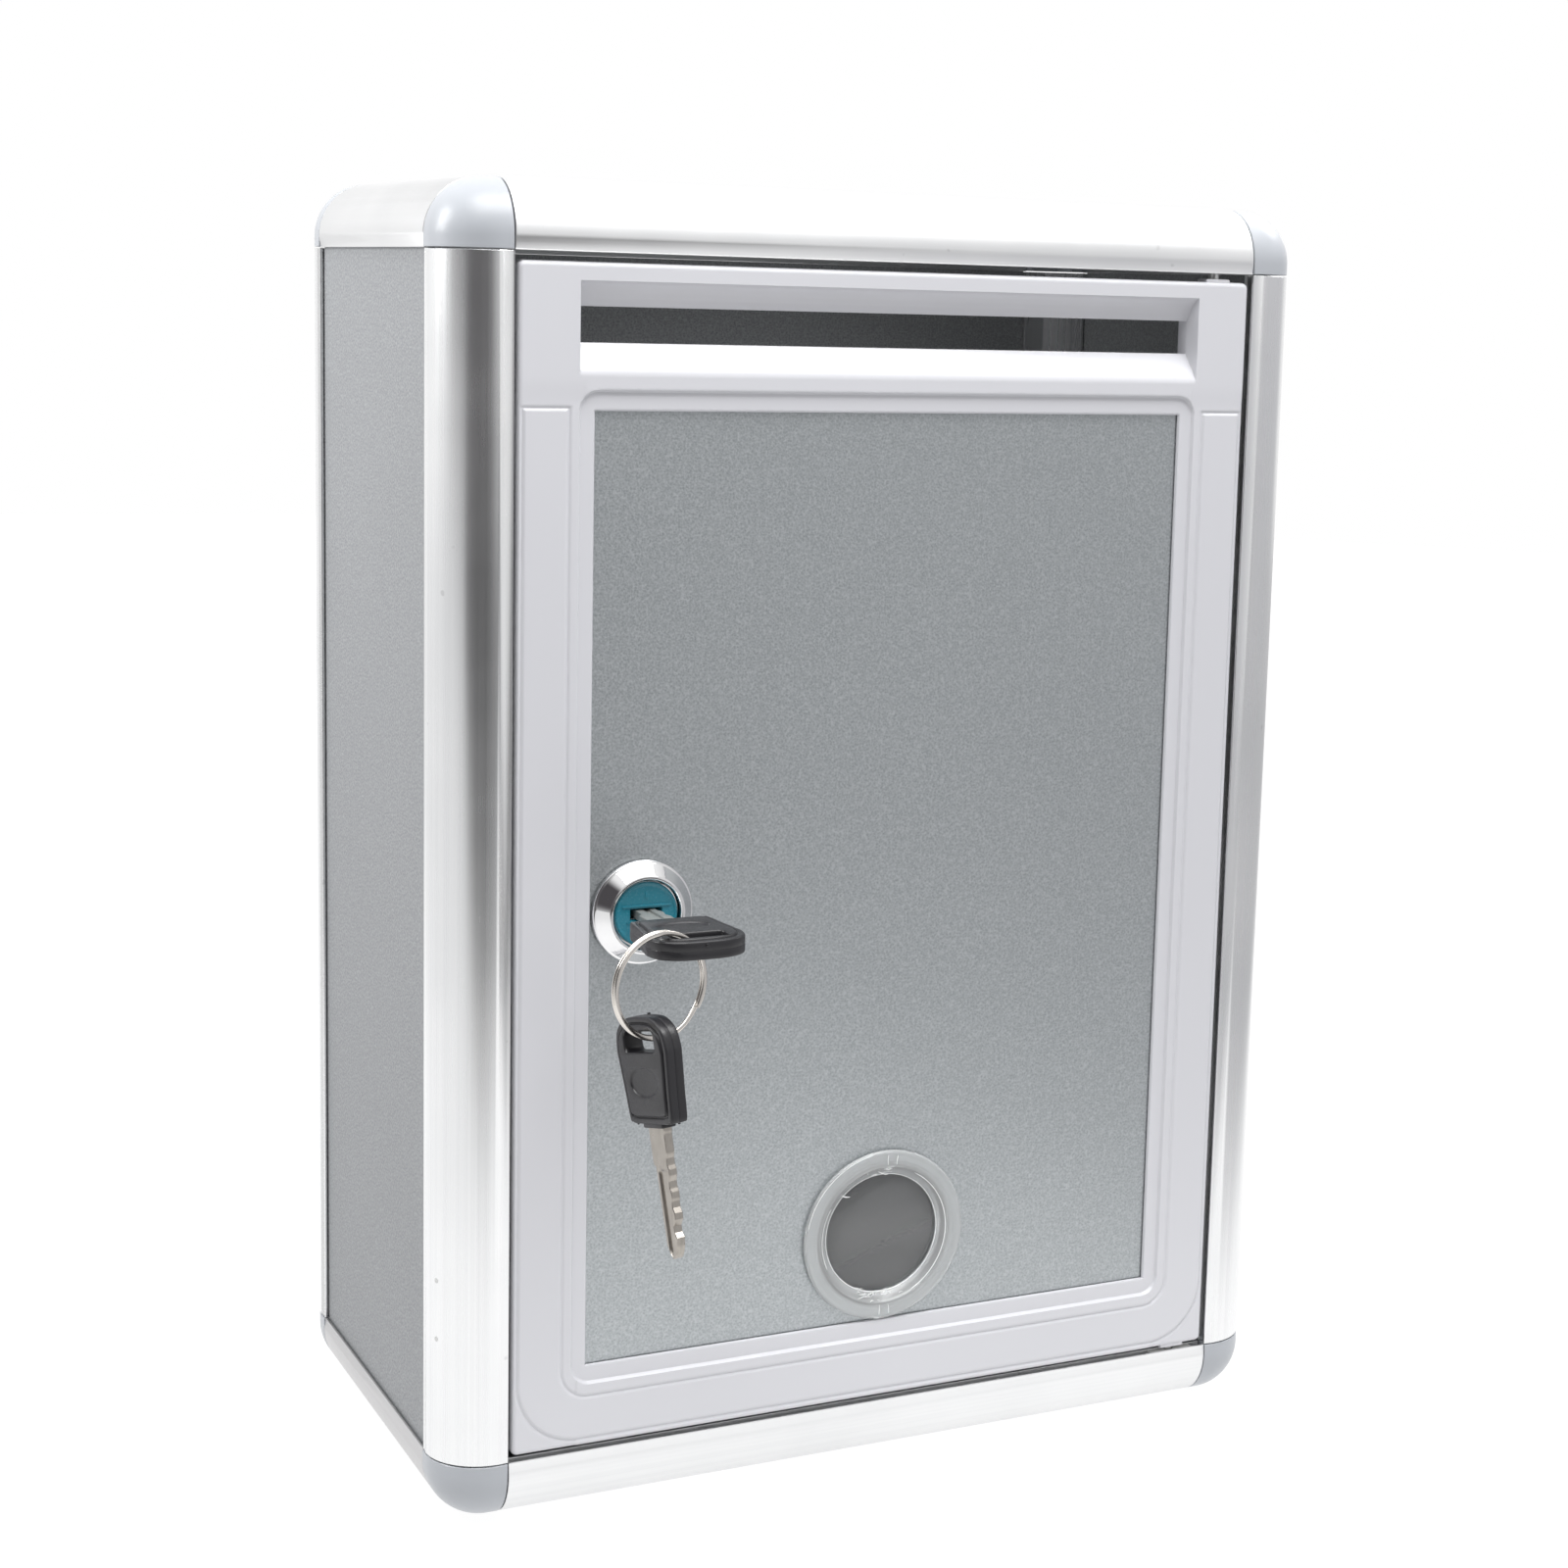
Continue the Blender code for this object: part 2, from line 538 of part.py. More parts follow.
# ------------------------------------------------------------------ lock core
core_line = empty("core_line", (LOCK_X, -60.0, LOCK_Z), hinge_line)
plug = finish("lock_plug",
              turned([(0, -60.3), (7.2, -60.3), (7.45, -60.05), (7.45, -59.3),
                      (7.0, -59.2), (7.0, -37.5), (0, -37.5)], LOCK_X, LOCK_Z, 32),
              teal(), core_line)
boolean(plug, tool("plug_tail", box(LOCK_X - 3.2, LOCK_X + 3.2, -38.3, -35.4,
                                    LOCK_Z - 3.2, LOCK_Z + 3.2), core_line), "UNION")
boolean(plug, tool("keyway", box(LOCK_X - 3.7, LOCK_X + 3.7, -62, -40.2,
                                 LOCK_Z - 1.3, LOCK_Z + 1.3), core_line), "DIFFERENCE")
boolean(plug, tool("screw_bore", prism(circle(LOCK_X, LOCK_Z, 1.8, 12), [],
                                       lambda u, v, w: (u, w, v), -39.9, -34.0),
                   core_line), "DIFFERENCE")
# cam: a strip with two bends, hub at the back, arm behind the sheet.  Seen
# from the side it is a Z; it points down while the door is unlocked.
hub_y0, hub_y1 = -37.2, -35.6
arm_y0, arm_y1 = CAM_ARM_Y, CAM_ARM_Y + CAM_T
side_view = [(hub_y0, 7.0), (hub_y1, 7.0), (hub_y1, -CAM_LEG - CAM_T),
             (arm_y1, -CAM_LEG - CAM_T), (arm_y1, -CAM_REACH),
             (arm_y0, -CAM_REACH), (arm_y0, -CAM_LEG), (hub_y0, -CAM_LEG)]
cam = finish("lock_cam",
             prism([(y, LOCK_Z + z) for y, z in side_view], [],
                   lambda u, v, w: (LOCK_X + w, u, v), -CAM_W / 2, CAM_W / 2),
             zinc(), core_line, smooth=False)
boolean(cam, tool("cam_square", box(LOCK_X - 3.5, LOCK_X + 3.5, -41, -32,
                                    LOCK_Z - 3.5, LOCK_Z + 3.5), core_line),
        "DIFFERENCE")
finish("cam_screw",
       turned([(0, -39.6), (1.5, -39.6), (1.5, -35.1), (4.2, -35.1), (4.2, -33.7),
               (3.4, -33.0), (0, -33.0)], LOCK_X, LOCK_Z, 20), zinc(), core_line)


# ------------------------------------------------------------------ keys
def catmull(points, n):
    """A smooth curve through the points."""
    out = []
    for i in range(len(points) - 1):
        p0 = points[max(i - 1, 0)]
        p1, p2 = points[i], points[i + 1]
        p3 = points[min(i + 2, len(points) - 1)]
        for k in range(n):
            t = k / n
            out.append(tuple(0.5 * (2 * b + (c - a) * t + (2 * a - 5 * b + 4 * c - d) * t * t
                                    + (3 * b - a - 3 * c + d) * t ** 3)
                             for a, b, c, d in zip(p0, p1, p2, p3)))
    out.append(points[-1])
    return out


def bow_half():
    """Right half of the bow's outline: (across, along), along 0 where the
    blade leaves it and BOW_LEN at the far end."""
    w, L = BOW_W / 2, BOW_LEN
    return catmull([(0.76 * w, 0.0), (0.84 * w, 0.05 * L), (0.90 * w, 0.30 * L),
                    (0.98 * w, 0.58 * L), (1.0 * w, 0.72 * L), (0.88 * w, 0.88 * L),
                    (0.52 * w, 0.98 * L), (0.0, L)], 3)


def bow_outline(inset):
    half = bow_half()
    cx, cy = 0.0, BOW_LEN * 0.55
    pts = half + [(-x, y) for x, y in reversed(half[:-1])]
    sx = (BOW_W / 2 - inset) / (BOW_W / 2)
    sy = (BOW_LEN / 2 - inset) / (BOW_LEN / 2)
    return [(cx + (x - cx) * sx, cy + (y - cy) * sy) for x, y in pts]


def key_pieces(prefix, put, parent):
    """put(across, along, thick) gives the place in millimetres."""
    bm = bmesh.new()
    layers = [(-BOW_T / 2, 1.5), (-BOW_RIM_T / 2, 0.25), (-BOW_RIM_T / 2 + 0.5, 0.0),
              (BOW_RIM_T / 2 - 0.5, 0.0), (BOW_RIM_T / 2, 0.25), (BOW_T / 2, 1.5)]
    rings = [[bm.verts.new(put(x, y, h)) for x, y in bow_outline(i)] for h, i in layers]
    n = len(rings[0])
    for a, b in zip(rings, rings[1:]):
        for i in range(n):
            j = (i + 1) % n
            bm.faces.new([a[i], a[j], b[j], b[i]])
    bm.faces.new(rings[0])
    bm.faces.new(list(reversed(rings[-1])))
    bow = finish(prefix + "_bow", bm, black(), parent)
    at = BOW_LEN - BOW_HOLE_AT
    boolean(bow, tool(prefix + "_hole",
                      prism(round_rect(-BOW_HOLE_W / 2, BOW_HOLE_W / 2,
                                       at - BOW_HOLE_H / 2, at + BOW_HOLE_H / 2, 1.0, 2),
                            [], put, -4, 4), parent), "DIFFERENCE")
    boolean(bow, tool(prefix + "_socket",
                      prism([(-BLADE_W / 2 - GAP, -3), (BLADE_W / 2 + GAP, -3),
                             (BLADE_W / 2 + GAP, TANG + GAP),
                             (-BLADE_W / 2 - GAP, TANG + GAP)], [], put,
                            -BLADE_T / 2 - GAP, BLADE_T / 2 + GAP), parent),
            "DIFFERENCE")
    for s in (-1, 1):
        ha, hb = sorted((s * (BOW_T / 2 - DIMPLE_DEEP), s * 4))
        oval = [(x * DIMPLE_W / 2, DIMPLE_AT + y * DIMPLE_H / 2)
                for x, y in circle(0, 0, 1, 20)]
        boolean(bow, tool(prefix + "_dimple_%s" % ("back" if s < 0 else "face"),
                          prism(oval, [], put, ha, hb), parent), "DIFFERENCE")
    w, L = BLADE_W / 2, BLADE_LEN
    blade = [(w, TANG), (w, -1.5), (w - 0.3, -2.2), (w - 0.3, -6.2), (w - 1.4, -7.4),
             (w - 1.4, -8.6), (w - 0.5, -9.8), (w - 0.5, -10.8), (w - 1.8, -12.4),
             (w - 1.8, -13.4), (w - 0.9, -14.6), (w - 0.9, -15.6), (w - 1.5, -16.6),
             (w - 1.5, -17.8), (w - 0.6, -19.0), (w - 0.6, -20.2), (w - 2.0, -22.0),
             (w - 2.0, -23.0), (w - 1.3, -24.2), (w - 2.2, -L + 1.2), (w - 3.2, -L),
             (-w + 2.6, -L), (-w + 0.9, -L + 3.0), (-w + 0.9, -9.2), (-w, -8.6),
             (-w, TANG)]
    finish(prefix + "_blade", prism(blade, [], put, -BLADE_T / 2, BLADE_T / 2),
           nickel(), parent, smooth=False)


key_line = empty("key_line", (LOCK_X, KEY_Y, LOCK_Z), core_line)
key_pieces("key", lambda u, v, w: (LOCK_X + u, KEY_Y - v, LOCK_Z + w), key_line)

# split ring, through the hole of the key in the lock
e1 = Vector((math.cos(RING_YAW), math.sin(RING_YAW), 0))
e3 = Vector((-math.sin(RING_YAW), math.cos(RING_YAW), 0))
up = Vector((0, 0, 1))
ring_c = Vector(RING_AT)
pivot = ring_c + up * (RING_R - WIRE_R)
ring_line = empty("ring_line", pivot, key_line)
bm = bmesh.new()
N, M = 44, 8
loops = []
for i in range(N):
    a = 2 * math.pi * i / N
    out = e1 * math.cos(a) + up * math.sin(a)
    loops.append([bm.verts.new(ring_c + out * (RING_R + WIRE_R * math.cos(b))
                               + e3 * WIRE_R * math.sin(b))
                  for b in (2 * math.pi * j / M for j in range(M))])
for i in range(N):
    a, b = loops[i], loops[(i + 1) % N]
    for j in range(M):
        k = (j + 1) % M
        bm.faces.new([a[j], a[k], b[k], b[j]])
finish("split_ring", bm, nickel(), ring_line)

# spare key: hangs on the lower part of the ring
hang = ring_c + e1 * SPARE_AT - up * math.sqrt(RING_R ** 2 - SPARE_AT ** 2)
lean, yaw, tilt = math.radians(SPARE_LEAN), SPARE_YAW, SPARE_TILT
flat = Vector((math.cos(yaw), math.sin(yaw), 0))
deep = Vector((-math.sin(yaw), math.cos(yaw), 0))
normal = flat * math.cos(tilt) + up * math.sin(tilt)       # out of the bow's far face
rise = up * math.cos(tilt) - flat * math.sin(tilt)
across = -deep * math.cos(lean) + rise * math.sin(lean)    # towards the viewer
along = deep * math.sin(lean) + rise * math.cos(lean)      # up the key
centre = hang - across * 1.0 - along * 0.5                 # middle of the hole
origin = centre - along * (BOW_LEN - BOW_HOLE_AT)
spare_line = empty("spare_line", hang, ring_line)
key_pieces("spare_key", lambda u, v, w: origin + across * u + along * v + normal * w,
           spare_line)
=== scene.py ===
"""Looks for the suggestion box: fine meshes and procedural materials over the
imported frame.  Lengths below are millimetres unless a name ends in _m."""
import json
import math
import bpy
import bmesh
import numpy as np
from mathutils import Matrix, Vector
from mathutils.geometry import tessellate_polygon


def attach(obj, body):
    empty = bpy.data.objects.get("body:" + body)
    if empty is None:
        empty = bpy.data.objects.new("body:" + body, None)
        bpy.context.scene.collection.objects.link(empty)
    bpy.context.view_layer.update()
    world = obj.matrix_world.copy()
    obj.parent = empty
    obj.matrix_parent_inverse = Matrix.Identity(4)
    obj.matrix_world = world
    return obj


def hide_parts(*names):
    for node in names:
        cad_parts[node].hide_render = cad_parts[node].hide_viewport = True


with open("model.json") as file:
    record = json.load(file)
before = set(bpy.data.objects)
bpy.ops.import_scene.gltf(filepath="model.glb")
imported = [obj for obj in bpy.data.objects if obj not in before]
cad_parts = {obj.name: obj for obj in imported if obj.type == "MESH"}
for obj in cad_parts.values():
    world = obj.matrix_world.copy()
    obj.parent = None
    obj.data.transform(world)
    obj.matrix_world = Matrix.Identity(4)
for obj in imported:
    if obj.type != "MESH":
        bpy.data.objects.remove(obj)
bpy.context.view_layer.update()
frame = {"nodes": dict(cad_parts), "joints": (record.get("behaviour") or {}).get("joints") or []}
NODES = frame["nodes"]
MM = 0.001

# -------------------------------------------------------------- driving sizes
WIDTH, DEPTH, HEIGHT = 215.0, 118.0, 300.0
X0, X1, Y0, Y1 = -WIDTH / 2, WIDTH / 2, -DEPTH / 2, DEPTH / 2
LEG, CORNER_R = 15.4, 12.8
LIP, GROOVE, INNER, GROOVE_DEPTH = 1.0, 2.1, 1.0, 6.0
SEAM = 0.15


def joint_pos(name):
    for j in frame["joints"]:
        if j["name"] == name:
            return Vector(j.get("pos_m", (0, 0, 0))) / MM
    raise ValueError(name)


# ================================================================= node maths
class Nodes:
    """Short hand for building a node tree."""

    def __init__(self, tree):
        self.t = tree
        self.n = tree.nodes
        self.l = tree.links

    def new(self, kind, **values):
        node = self.n.new(kind)
        for k, v in values.items():
            setattr(node, k, v)
        return node

    def link(self, a, b):
        self.l.new(a, b)

    def coords(self, scale=(1, 1, 1), rotation=(0, 0, 0)):
        tc = self.new("ShaderNodeTexCoord")
        mp = self.new("ShaderNodeMapping")
        mp.inputs["Scale"].default_value = scale
        mp.inputs["Rotation"].default_value = rotation
        self.link(tc.outputs["Object"], mp.inputs["Vector"])
        return mp.outputs["Vector"]

    def noise(self, vector, scale, detail=3.0, rough=0.5, distortion=0.0):
        n = self.new("ShaderNodeTexNoise")
        n.inputs["Scale"].default_value = scale
        n.inputs["Detail"].default_value = detail
        n.inputs["Roughness"].default_value = rough
        n.inputs["Distortion"].default_value = distortion
        self.link(vector, n.inputs["Vector"])
        return n.outputs["Fac"]

    def voronoi(self, vector, scale, feature="F1", rand=1.0):
        n = self.new("ShaderNodeTexVoronoi", feature=feature)
        n.inputs["Scale"].default_value = scale
        n.inputs["Randomness"].default_value = rand
        self.link(vector, n.inputs["Vector"])
        return n.outputs["Distance"]

    def ramp(self, fac, stops):
        r = self.new("ShaderNodeValToRGB")
        e = r.color_ramp.elements
        while len(e) < len(stops):
            e.new(0.5)
        for el, (p, c) in zip(e, stops):
            el.position = p
            el.color = (c, c, c, 1) if isinstance(c, (int, float)) else (*c, 1)
        self.link(fac, r.inputs["Fac"])
        return r.outputs["Color"]

    def math(self, op, a, b=None, c=None):
        m = self.new("ShaderNodeMath", operation=op)
        for i, v in enumerate((a, b, c)):
            if v is None:
                continue
            if isinstance(v, (int, float)):
                m.inputs[i].default_value = v
            else:
                self.link(v, m.inputs[i])
        return m.outputs[0]

    def map_range(self, v, a, b, c, d):
        m = self.new("ShaderNodeMapRange")
        for i, x in enumerate((a, b, c, d)):
            m.inputs[i + 1].default_value = x
        self.link(v, m.inputs[0])
        return m.outputs[0]

    def mix(self, fac, a, b, kind="MIX"):
        m = self.new("ShaderNodeMix", data_type="RGBA", blend_type=kind)
        if isinstance(fac, (int, float)):
            m.inputs[0].default_value = fac
        else:
            self.link(fac, m.inputs[0])
        for i, v in ((6, a), (7, b)):
            if isinstance(v, tuple):
                m.inputs[i].default_value = (*v, 1)
            else:
                self.link(v, m.inputs[i])
        return m.outputs[2]

    def bump(self, height, strength, distance_m, normal=None):
        b = self.new("ShaderNodeBump")
        b.inputs["Strength"].default_value = strength
        b.inputs["Distance"].default_value = distance_m
        self.link(height, b.inputs["Height"])
        if normal is not None:
            self.link(normal, b.inputs["Normal"])
        return b.outputs["Normal"]

    def axis(self, vector, which):
        s = self.new("ShaderNodeSeparateXYZ")
        self.link(vector, s.inputs[0])
        return s.outputs[which]


def material(name, base=(0.8, 0.8, 0.8), rough=0.4, metal=0.0, **sockets):
    m = bpy.data.materials.new(name)
    m.use_nodes = True
    b = m.node_tree.nodes["Principled BSDF"]
    b.inputs["Base Color"].default_value = (*base, 1)
    b.inputs["Roughness"].default_value = rough
    b.inputs["Metallic"].default_value = metal
    for k, v in sockets.items():
        b.inputs[k.replace("_", " ")].default_value = v
    return m, Nodes(m.node_tree), b


def lin(r, g, b):
    """8-bit display colour to the linear one the shader takes."""
    return tuple(c / 12.92 / 255 if c / 255 <= 0.04045 else ((c / 255 + 0.055) / 1.055) ** 2.4
                 for c in (r, g, b))


def anodised(axis):
    """Natural anodised extrusion: satin metal with faint drawing lines along
    its length, a cloudy tone and a few small marks."""
    m, n, b = material("anodised_" + axis, rough=0.3, metal=1.0)
    stretch = {"x": (2, 900, 900), "y": (900, 2, 900), "z": (900, 900, 2)}[axis]
    lines = n.noise(n.coords(stretch), 1.0, 2.0, 0.6)
    long_lines = n.noise(n.coords(tuple(c * 0.25 for c in stretch)), 1.0, 1.0, 0.5)
    grain = n.noise(n.coords(), 3200.0, 2.0, 0.6)
    cloud = n.noise(n.coords(), 22.0, 3.0, 0.55)
    specks = n.noise(n.coords(), 260.0, 1.0, 0.5)
    tone = n.mix(n.map_range(cloud, 0.3, 0.7, 0.0, 1.0), (0.80, 0.805, 0.81),
                 (0.875, 0.878, 0.88))
    tone = n.mix(n.map_range(lines, 0.35, 0.75, 0.0, 0.15), tone, (0.60, 0.61, 0.63))
    tone = n.mix(n.map_range(specks, 0.79, 0.82, 0.0, 0.35), tone, (0.45, 0.45, 0.46))
    # painted shade: the rails along y are greyed towards the bottom, most strongly at z 0.03 m
    if axis == "y":
        low = n.new("ShaderNodeSeparateXYZ")
        n.link(n.coords(), low.inputs[0])
        tone = n.mix(n.map_range(low.outputs[2], 0.03, 0.20, 1.0, 0.25), tone, (0.56, 0.555, 0.56))
    n.link(tone, b.inputs["Base Color"])
    base = {"x": 0.38, "y": 0.33, "z": 0.23}[axis]
    r = n.math("ADD", n.map_range(lines, 0.3, 0.7, base, base + 0.07),
               n.map_range(cloud, 0.3, 0.7, -0.02, 0.03))
    n.link(r, b.inputs["Roughness"])
    h = n.math("ADD", n.math("MULTIPLY", lines, 0.5), n.math("MULTIPLY", grain, 0.35))
    h = n.math("ADD", h, n.math("MULTIPLY", long_lines, 0.5))
    n.link(n.bump(h, 0.10, 0.00004), b.inputs["Normal"])
    return m


def cap_plastic():
    m, n, b = material("cap_plastic", rough=0.33, Coat_Weight=0.2, Coat_Roughness=0.2)
    cloud = n.noise(n.coords(), 60.0, 2.0, 0.5)
    peel = n.noise(n.coords(), 900.0, 2.0, 0.5)
    fine = n.noise(n.coords(), 4000.0, 2.0, 0.6)
    n.link(n.mix(cloud, (0.398, 0.418, 0.448), (0.432, 0.450, 0.480)), b.inputs["Base Color"])
    n.link(n.map_range(peel, 0.3, 0.7, 0.32, 0.42), b.inputs["Roughness"])
    n.link(n.bump(n.math("ADD", peel, n.math("MULTIPLY", fine, 0.5)), 0.12, 0.00005),
           b.inputs["Normal"])
    return m


def sheet_metal(name, light, dark, metal=0.55, rough=0.5, scale=2100.0):
    """Speckled sheet: a fine raised grain, lighter on its tops."""
    m, n, b = material(name, rough=rough, metal=metal)
    v = n.coords()
    grain = n.noise(v, scale, 2.0, 0.55)
    cells = n.voronoi(v, scale * 0.8)
    cloud = n.noise(v, 14.0, 2.0, 0.5)
    h = n.math("ADD", n.math("MULTIPLY", grain, 0.8), n.math("MULTIPLY", cells, 0.35))
    f = n.map_range(h, 0.38, 0.80, 0.0, 1.0)
    tone = n.mix(f, dark, light)
    tone = n.mix(n.map_range(cloud, 0.3, 0.7, 0.0, 0.08), tone, tuple(c * 0.8 for c in dark))
    n.link(tone, b.inputs["Base Color"])
    n.link(n.map_range(grain, 0.3, 0.7, rough - 0.06, rough + 0.08), b.inputs["Roughness"])
    n.link(n.bump(h, 0.35, 0.00010), b.inputs["Normal"])
    b.inputs["Specular IOR Level"].default_value = 0.25
    return m


def door_plastic():
    m, n, b = material("door_plastic", rough=0.30, Coat_Weight=0.35, Coat_Roughness=0.12)
    cloud = n.noise(n.coords((1, 1, 0.4)), 16.0, 2.0, 0.5)
    peel = n.noise(n.coords(), 700.0, 2.0, 0.5)
    fine = n.noise(n.coords(), 3600.0, 1.0, 0.5)
    n.link(n.mix(cloud, (0.622, 0.624, 0.656), (0.650, 0.652, 0.684)), b.inputs["Base Color"])
    n.link(n.map_range(peel, 0.3, 0.7, 0.30, 0.38), b.inputs["Roughness"])
    n.link(n.bump(n.math("ADD", peel, n.math("MULTIPLY", fine, 0.35)), 0.10, 0.00004),
           b.inputs["Normal"])
    return m


def clear_plastic(name, rough, tint, weight=1.0):
    m, n, b = material(name, base=tint, rough=rough, Transmission_Weight=weight, IOR=1.46)
    wave = n.noise(n.coords(), 130.0, 2.0, 0.5)
    fine = n.noise(n.coords(), 1400.0, 2.0, 0.5)
    n.link(n.bump(n.math("ADD", wave, n.math("MULTIPLY", fine, 0.25)), 0.12, 0.0003),
           b.inputs["Normal"])
    n.link(n.map_range(wave, 0.3, 0.7, rough * 0.7, rough * 1.5), b.inputs["Roughness"])
    return m


def plated(name, a, c, rough, streak=0.0, axis="z", bump=0.08, metal=1.0):
    m, n, b = material(name, rough=rough, metal=metal)
    cloud = n.noise(n.coords(), 320.0, 2.0, 0.5)
    s = {"x": (30, 2400, 2400), "y": (2400, 30, 2400), "z": (2400, 2400, 30)}[axis]
    lines = n.noise(n.coords(s), 1.0, 2.0, 0.5)
    tone = n.mix(cloud, a, c)
    n.link(n.mix(n.map_range(lines, 0.4, 0.7, 0.0, streak), tone, tuple(x * 0.6 for x in a)),
           b.inputs["Base Color"])
    n.link(n.math("ADD", n.map_range(cloud, 0.3, 0.7, rough * 0.8, rough * 1.25),
                  n.map_range(lines, 0.3, 0.7, 0.0, 0.06 * (streak > 0))),
           b.inputs["Roughness"])
    n.link(n.bump(n.math("ADD", lines, cloud), bump, 0.00004), b.inputs["Normal"])
    return m


def moulded(name, a, c, rough, grain=1800.0, bump=0.2):
    m, n, b = material(name, rough=rough)
    cloud = n.noise(n.coords(), 90.0, 2.0, 0.5)
    fine = n.noise(n.coords(), grain, 2.0, 0.6)
    n.link(n.mix(cloud, a, c), b.inputs["Base Color"])
    n.link(n.map_range(fine, 0.3, 0.7, rough - 0.05, rough + 0.07), b.inputs["Roughness"])
    n.link(n.bump(fine, bump, 0.00005), b.inputs["Normal"])
    return m


M = {
    "x": anodised("x"), "y": anodised("y"), "z": anodised("z"),
    "cap": cap_plastic(),
    "side": sheet_metal("side_sheet", (0.41, 0.420, 0.432), (0.225, 0.232, 0.242), 0.12, 0.6),
    "front": sheet_metal("front_sheet", (0.522, 0.546, 0.560), (0.350, 0.374, 0.386), 0.80, 0.36),
    "door": door_plastic(),
    "ring": clear_plastic("window_ring_plastic", 0.17, (0.90, 0.92, 0.925), 0.70),
    # whitish plastic for real flash and also for the painted highlight beads on the clear bezel
    "flash": moulded("flash_and_highlight_plastic", (0.86, 0.87, 0.87), (0.93, 0.94, 0.94), 0.25, 900, .1),
    "pane": clear_plastic("window_pane_plastic", 0.07, (0.76, 0.77, 0.78), 0.88),
    "chrome": plated("chrome_plate", (0.86, 0.86, 0.86), (0.80, 0.80, 0.81), 0.05, bump=0.02),
    "zinc": plated("zinc_plate", (0.60, 0.61, 0.61), (0.70, 0.70, 0.68), 0.34, 0.2, "y", 0.15),
    "teal": moulded("teal_plastic", (0.017, 0.178, 0.243), (0.021, 0.192, 0.260), 0.24, 1500, .04),
    "black": moulded("bow_plastic", (0.012, 0.012, 0.014), (0.019, 0.018, 0.021), 0.34, 1900, .3),
    "satin": plated("satin_nickel", (0.47, 0.47, 0.45), (0.38, 0.38, 0.36), 0.38, 0.30, "z", 0.15,
                    0.55),
    "nickel": plated("nickel_plate", (0.46, 0.43, 0.39), (0.39, 0.36, 0.325), 0.30, 0.30, "z", 0.15),
    "ringwire": plated("ring_plate", (0.78, 0.745, 0.70), (0.70, 0.66, 0.61), 0.20, 0.0, "z", .01),
    "nylon": moulded("block_nylon", (0.70, 0.70, 0.68), (0.76, 0.76, 0.73), 0.45, 900, .15),
}


# ================================================================= mesh helpers
def make(name, bm, mat, body, replaces=(), sharp=32.0, bevel=0.0):
    bmesh.ops.remove_doubles(bm, verts=bm.verts, dist=1e-4)
    bmesh.ops.recalc_face_normals(bm, faces=bm.faces)
    for v in bm.verts:
        v.co *= MM
    me = bpy.data.meshes.new(name)
    bm.to_mesh(me)
    bm.free()
    me.materials.append(mat)
    me.shade_smooth()
    me.set_sharp_from_angle(angle=math.radians(sharp))
    ob = bpy.data.objects.new(name, me)
    bpy.context.scene.collection.objects.link(ob)
    if bevel:
        b = ob.modifiers.new("edge", "BEVEL")
        b.width = bevel * MM
        b.segments = 2
        b.limit_method = "ANGLE"
        b.angle_limit = math.radians(34)
        b.harden_normals = True
    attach(ob, body)
    if replaces:
        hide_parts(*replaces)
    return ob


def skin_loops(bm, loops, close=False, caps=True):
    """Quads between equal-length loops of bmesh verts."""
    n = len(loops[0])
    pairs = list(zip(loops, loops[1:])) + ([(loops[-1], loops[0])] if close else [])
    for a, b in pairs:
        for i in range(n):
            j = (i + 1) % n
            bm.faces.new([a[i], a[j], b[j], b[i]])
    if caps and not close:
        fill(bm, loops[0])
        fill(bm, loops[-1])


def fill(bm, *loops):
    """Triangulated flat cap over one outline and its holes."""
    flat = [v for l in loops for v in l]
    for t in tessellate_polygon([[v.co for v in l] for l in loops]):
        try:
            bm.faces.new([flat[i] for i in t])
        except ValueError:
            pass


def lathe(bm, profile, cx, cz, n=96, start=0.0):
    rings = []
    for r, y in profile:
        if r < 1e-9:
            rings.append([bm.verts.new((cx, y, cz))])
        else:
            rings.append([bm.verts.new((cx + r * math.cos(start + 2 * math.pi * i / n), y,
                                        cz + r * math.sin(start + 2 * math.pi * i / n)))
                          for i in range(n)])
    pairs = list(zip(rings, rings[1:]))
    if all(len(r) > 1 for r in rings):
        pairs.append((rings[-1], rings[0]))
    for a, b in pairs:
        for i in range(n):
            j = (i + 1) % n
            if len(a) == 1:
                bm.faces.new([a[0], b[i], b[j]])
            elif len(b) == 1:
                bm.faces.new([a[i], b[0], a[j]])
            else:
                bm.faces.new([a[i], b[i], b[j], a[j]])
    return rings


def rounded(points, r, n=3, closed=True):
    """Rounds the corners of a 2-D outline.  r is one radius or one for each."""
    out = []
    m = len(points)
    for i, p in enumerate(points):
        ri = r[i] if isinstance(r, (list, tuple)) else r
        a, c = Vector(points[i - 1]), Vector(points[(i + 1) % m])
        p = Vector(p)
        u, v = (a - p), (c - p)
        if ri <= 0 or (not closed and i in (0, m - 1)):
            out.append(tuple(p))
            continue
        ang = u.angle(v)
        if ang > math.radians(172):
            out.append(tuple(p))
            continue
        t = min(ri / math.tan(ang / 2), u.length * 0.45, v.length * 0.45)
        rr = t * math.tan(ang / 2)
        centre = p + (u.normalized() + v.normalized()).normalized() * (rr / math.sin(ang / 2))
        s, e = p + u.normalized() * t, p + v.normalized() * t
        s, e = s - centre, e - centre
        sweep = s.angle(e)
        axis = 1 if s.x * e.y - s.y * e.x > 0 else -1
        for k in range(n + 1):
            w = axis * sweep * k / n
            out.append((centre.x + s.x * math.cos(w) - s.y * math.sin(w),
                        centre.y + s.x * math.sin(w) + s.y * math.cos(w)))
    return out


